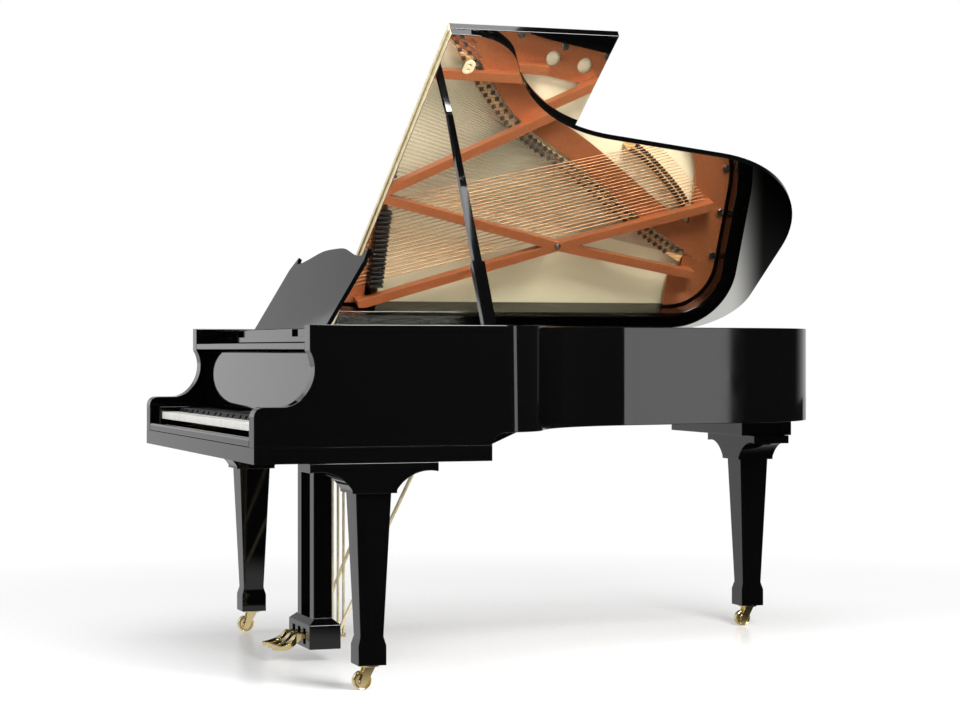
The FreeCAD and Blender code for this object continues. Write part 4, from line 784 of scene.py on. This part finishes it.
class PIANO_OT_keys(Operator):
    """Covers the keys and finishes the action behind them"""
    bl_idname = "piano.keys"
    bl_label = "Keys and action"

    def execute(self, context):
        sizes = context.scene.piano_sizes
        for node in ("natural_keys", "middle_c_key"):
            keys = dress(node, ["spruce", "white"], sizes.fine_edge, 2)
            for direction in (UP, FRONT):
                paint(keys, 1, direction, COVER_LIMIT)
        dress("sharp_keys", ["sharp"], sizes.fine_edge, 2)
        bed = dress("key_frame", ["maple", "black"], sizes.fine_edge, 2)
        for direction in (FRONT, UP):
            paint(bed, 1, direction)
        dress("action_stack", ["maple"], sizes.fine_edge, 2)
        for node in ("hammers", "middle_c_hammer"):
            dress(node, ["felt"], sizes.fine_edge, 1)
        dress("damper_heads", ["damper"], sizes.fine_edge, 2)
        dress("damper_lift", ["maple"], sizes.fine_edge, 1)
        return {"FINISHED"}


class PIANO_OT_front(Operator):
    """Finishes the fallboard, the music tray and the desk"""
    bl_idname = "piano.front"
    bl_label = "Fallboard and music desk"

    def execute(self, context):
        sizes = context.scene.piano_sizes
        for node in ("fallboard", "music_tray", "music_desk", "desk_strut"):
            dress(node, ["black"], sizes.case_edge)
        return {"FINISHED"}


class PIANO_OT_stand(Operator):
    """Finishes the legs, casters, lyre and pedals"""
    bl_idname = "piano.stand"
    bl_label = "Legs, lyre and pedals"

    def wheel(self, sizes, node):
        """A caster wheel with a sunk web between its tread and its hub."""
        wheel = clean_copy(node, node + "_finished")
        shape_faces(wheel, lambda face: abs(face.normal.x) > FLAT_SIDE)
        bpy.ops.mesh.inset(thickness=sizes.wheel_tread, depth=-sizes.wheel_web)
        bpy.ops.object.mode_set(mode="OBJECT")
        round_edges(wheel, sizes.fine_edge, 2)
        hand_over(wheel, BODY_OF[node], ["brass"], [node])

    def execute(self, context):
        sizes = context.scene.piano_sizes
        dress("lyre", ["black"], sizes.case_edge)
        dress("lyre_braces", ["lacquered"], sizes.fine_edge, 2)
        dress("pivot_pins", ["nickel"], sizes.fine_edge, 1)
        for side in ("bass", "treble", "tail"):
            dress(side + "_leg", ["black"], sizes.case_edge)
            dress(side + "_caster_fork", ["brass"], sizes.fine_edge, 2)
            self.wheel(sizes, side + "_caster_wheel")
        for name in ("soft", "sostenuto", "sustain"):
            dress(name + "_pedal", ["brass"], sizes.pedal_edge, 4)
            dress(name + "_rod", ["lacquered"], sizes.fine_edge, 2)
        return {"FINISHED"}


def studio_floor(colour):
    """Painted board: pale and matt with a faint shine, going to plain white far from the object. In
    reflections it shows a painted glow in place of its own shading: white towards the backdrop and dark
    towards the open side of the studio."""
    material, tree, shader, place = start_material("studio_floor", "#e6e6e6", 0.3)
    shader.inputs["Base Color"].default_value = list(colour) + [1.0]
    shader.inputs["Specular IOR Level"].default_value = 0.35
    grain = add(tree, "ShaderNodeTexNoise", {"Scale": per_mm(25), "Detail": 4.0}, {"Vector": place})
    add(tree, "ShaderNodeMapRange", {"To Min": 0.16, "To Max": 0.26}, {"Value": grain},
        shader.inputs["Roughness"])
    away = add(tree, "ShaderNodeVectorMath", {"operation": "LENGTH"}, {"Vector": place})
    far = add(tree, "ShaderNodeMapRange", {
        "From Min": FLOOR_FADE[0], "From Max": FLOOR_FADE[1], "To Min": FLOOR_NEAR_SHARE, "To Max": 1.0},
        {"Value": (away, "Value")})
    ray = add(tree, "ShaderNodeLightPath")
    share = add(tree, "ShaderNodeMath", {"operation": "MULTIPLY"}, {0: (ray, "Is Camera Ray"), 1: far})
    glow = add(tree, "ShaderNodeEmission", {"Color": WHITE, "Strength": 1.0})
    direct = add(tree, "ShaderNodeMixShader", links={0: share, 1: shader, 2: glow})
    # Painted reflection: in glossy rays the floor is a glow, white towards the backdrop and dark towards the
    # open side, not its own shading.
    side = add(tree, "ShaderNodeVectorMath", {"operation": "DOT_PRODUCT", 1: OPEN_SIDE}, {0: place})
    level = add(tree, "ShaderNodeMapRange", {
        "interpolation_type": "SMOOTHSTEP", "From Min": PAINTED_FLOOR_REFLECTION_TURN[0], "From Max": PAINTED_FLOOR_REFLECTION_TURN[1],
        "To Min": PAINTED_FLOOR_REFLECTION_LEVEL, "To Max": OPEN_SIDE_LEVEL}, {"Value": (side, "Value")})
    mirrored = add(tree, "ShaderNodeEmission", {"Color": WHITE}, {"Strength": level})
    seen = add(tree, "ShaderNodeMath", {"operation": "MAXIMUM"},
               {0: (ray, "Is Glossy Ray"), 1: (ray, "Is Transmission Ray")})
    output = next(node for node in tree.nodes if node.type == "OUTPUT_MATERIAL")
    add(tree, "ShaderNodeMixShader", links={0: seen, 1: direct, 2: mirrored}, feeds=output.inputs["Surface"])
    return material


def studio_world():
    """An even soft light. Seen directly it is white, and in reflections it is white on the side of
    the backdrop and dark on the open side of the studio and overhead."""
    world = bpy.data.worlds.new("studio_world")
    bpy.context.scene.world = world
    world.use_nodes = True
    tree = world.node_tree
    tree.nodes.clear()
    output = add(tree, "ShaderNodeOutputWorld")
    coordinates = add(tree, "ShaderNodeTexCoord")
    heading = add(tree, "ShaderNodeSeparateXYZ", links={0: (coordinates, "Generated")})
    level = add(tree, "ShaderNodeMapRange", {
        "interpolation_type": "SMOOTHSTEP", "From Min": BACKDROP_TURN[0], "From Max": BACKDROP_TURN[1],
        "To Min": BACKDROP_LEVEL, "To Max": OPEN_SIDE_LEVEL}, {"Value": (heading, "X")})
    upward = add(tree, "ShaderNodeMapRange", {
        "From Min": SKY_RISE[0], "From Max": SKY_RISE[1], "To Min": 1.0, "To Max": SKY_TOP_SHARE},
        {"Value": (heading, "Z")})
    backdrop = add(tree, "ShaderNodeMath", {"operation": "MULTIPLY"}, {0: level, 1: upward})
    ray = add(tree, "ShaderNodeLightPath")
    strength = add(tree, "ShaderNodeMath", {"operation": "MAXIMUM"}, {0: (ray, "Is Camera Ray"), 1: backdrop})
    mirrored = add(tree, "ShaderNodeMath", {"operation": "MAXIMUM"},
                   {0: (ray, "Is Glossy Ray"), 1: (ray, "Is Transmission Ray")})
    seen = add(tree, "ShaderNodeMath", {"operation": "MAXIMUM"}, {0: (ray, "Is Camera Ray"), 1: mirrored})
    light = add(tree, "ShaderNodeBackground", {"Color": WHITE, "Strength": STUDIO_LIGHT})
    view = add(tree, "ShaderNodeBackground", {"Color": WHITE}, {"Strength": strength})
    add(tree, "ShaderNodeMixShader", links={0: seen, 1: light, 2: view}, feeds=output.inputs["Surface"])


def softbox(name, place, target, width, height, power):
    """A rectangular soft light that faces a target."""
    light = bpy.data.lights.new(name, "AREA")
    light.shape = "RECTANGLE"
    light.size = width
    light.size_y = height
    light.energy = power
    lamp = bpy.data.objects.new(name, light)
    lamp.location = place
    lamp.visible_camera = False
    lamp.rotation_euler = (Vector(target) - Vector(place)).to_track_quat("-Z", "Y").to_euler()
    bpy.context.scene.collection.objects.link(lamp)


class PIANO_OT_stage(Operator):
    """Adds the floor, the soft light and the camera"""
    bl_idname = "piano.stage"
    bl_label = "Stage"

    def execute(self, context):
        stage = context.scene.piano_stage
        deselect()
        bpy.ops.mesh.primitive_plane_add(size=FLOOR_SIZE)
        floor = settle(context.object)
        floor.name = "studio_floor"
        floor.data.materials.append(studio_floor(stage.floor_colour))
        studio_world()
        softbox("top_light", place=(0.6, -1.18, 4.6), target=(0.6, -1.17, 0.6), width=4.0, height=4.0,
                power=stage.key_power)
        softbox("inside_light", place=(2.6, 0.5, 2.2), target=(-0.3, 0.1, 0.95), width=1.4, height=1.4,
                power=stage.key_power * INSIDE_LIGHT_SHARE)
        softbox("front_light", place=(-1.5, -5.0, 2.6), target=(0.0, -0.6, 0.8), width=2.6, height=2.6,
                power=stage.key_power * FRONT_LIGHT_SHARE)
        softbox("tail_panel", place=(3.82, 3.9, 0.95), target=(0.27, 0.43, 0.9), width=0.56, height=2.6,
                power=stage.tail_power)
        softbox("side_panel", place=(-4.8, -2.8, 2.2), target=(0.0, -1.0, 2.2), width=3.0, height=3.0,
                power=stage.side_power)
        camera = bpy.data.cameras.new("photo_camera")
        camera.sensor_width = CAMERA_SENSOR
        camera.lens = stage.camera_lens
        camera.shift_y = stage.camera_rise
        viewer = bpy.data.objects.new("photo_camera", camera)
        viewer.location = stage.camera_place
        viewer.rotation_euler = (math.pi / 2, 0, stage.camera_turn)
        context.scene.collection.objects.link(viewer)
        context.scene.camera = viewer
        context.scene.view_settings.view_transform = "Standard"
        return {"FINISHED"}


OPERATORS = (PIANO_OT_case, PIANO_OT_lid, PIANO_OT_stringing, PIANO_OT_keys, PIANO_OT_front, PIANO_OT_stand,
             PIANO_OT_stage)


class PIANO_PT_panel(Panel):
    """Lists the steps of the finish"""
    bl_idname = "PIANO_PT_panel"
    bl_label = "Grand Piano Finish"
    bl_space_type = "VIEW_3D"
    bl_region_type = "UI"
    bl_category = "Piano"

    def draw(self, context):
        for operator in OPERATORS:
            self.layout.operator(operator.bl_idname)
        for group in (context.scene.piano_sizes, context.scene.piano_stage):
            for name in group.__annotations__:
                self.layout.prop(group, name)


CLASSES = (PianoSizes, PianoStage) + OPERATORS + (PIANO_PT_panel,)


def register():
    for item in CLASSES:
        bpy.utils.register_class(item)
    bpy.types.Scene.piano_sizes = PointerProperty(type=PianoSizes)
    bpy.types.Scene.piano_stage = PointerProperty(type=PianoStage)


def unregister():
    del bpy.types.Scene.piano_stage
    del bpy.types.Scene.piano_sizes
    for item in reversed(CLASSES):
        bpy.utils.unregister_class(item)


def main():
    register()
    bpy.ops.piano.case()
    bpy.ops.piano.lid()
    bpy.ops.piano.stringing()
    bpy.ops.piano.keys()
    bpy.ops.piano.front()
    bpy.ops.piano.stand()
    bpy.ops.piano.stage()


if __name__ == "__main__":
    main()
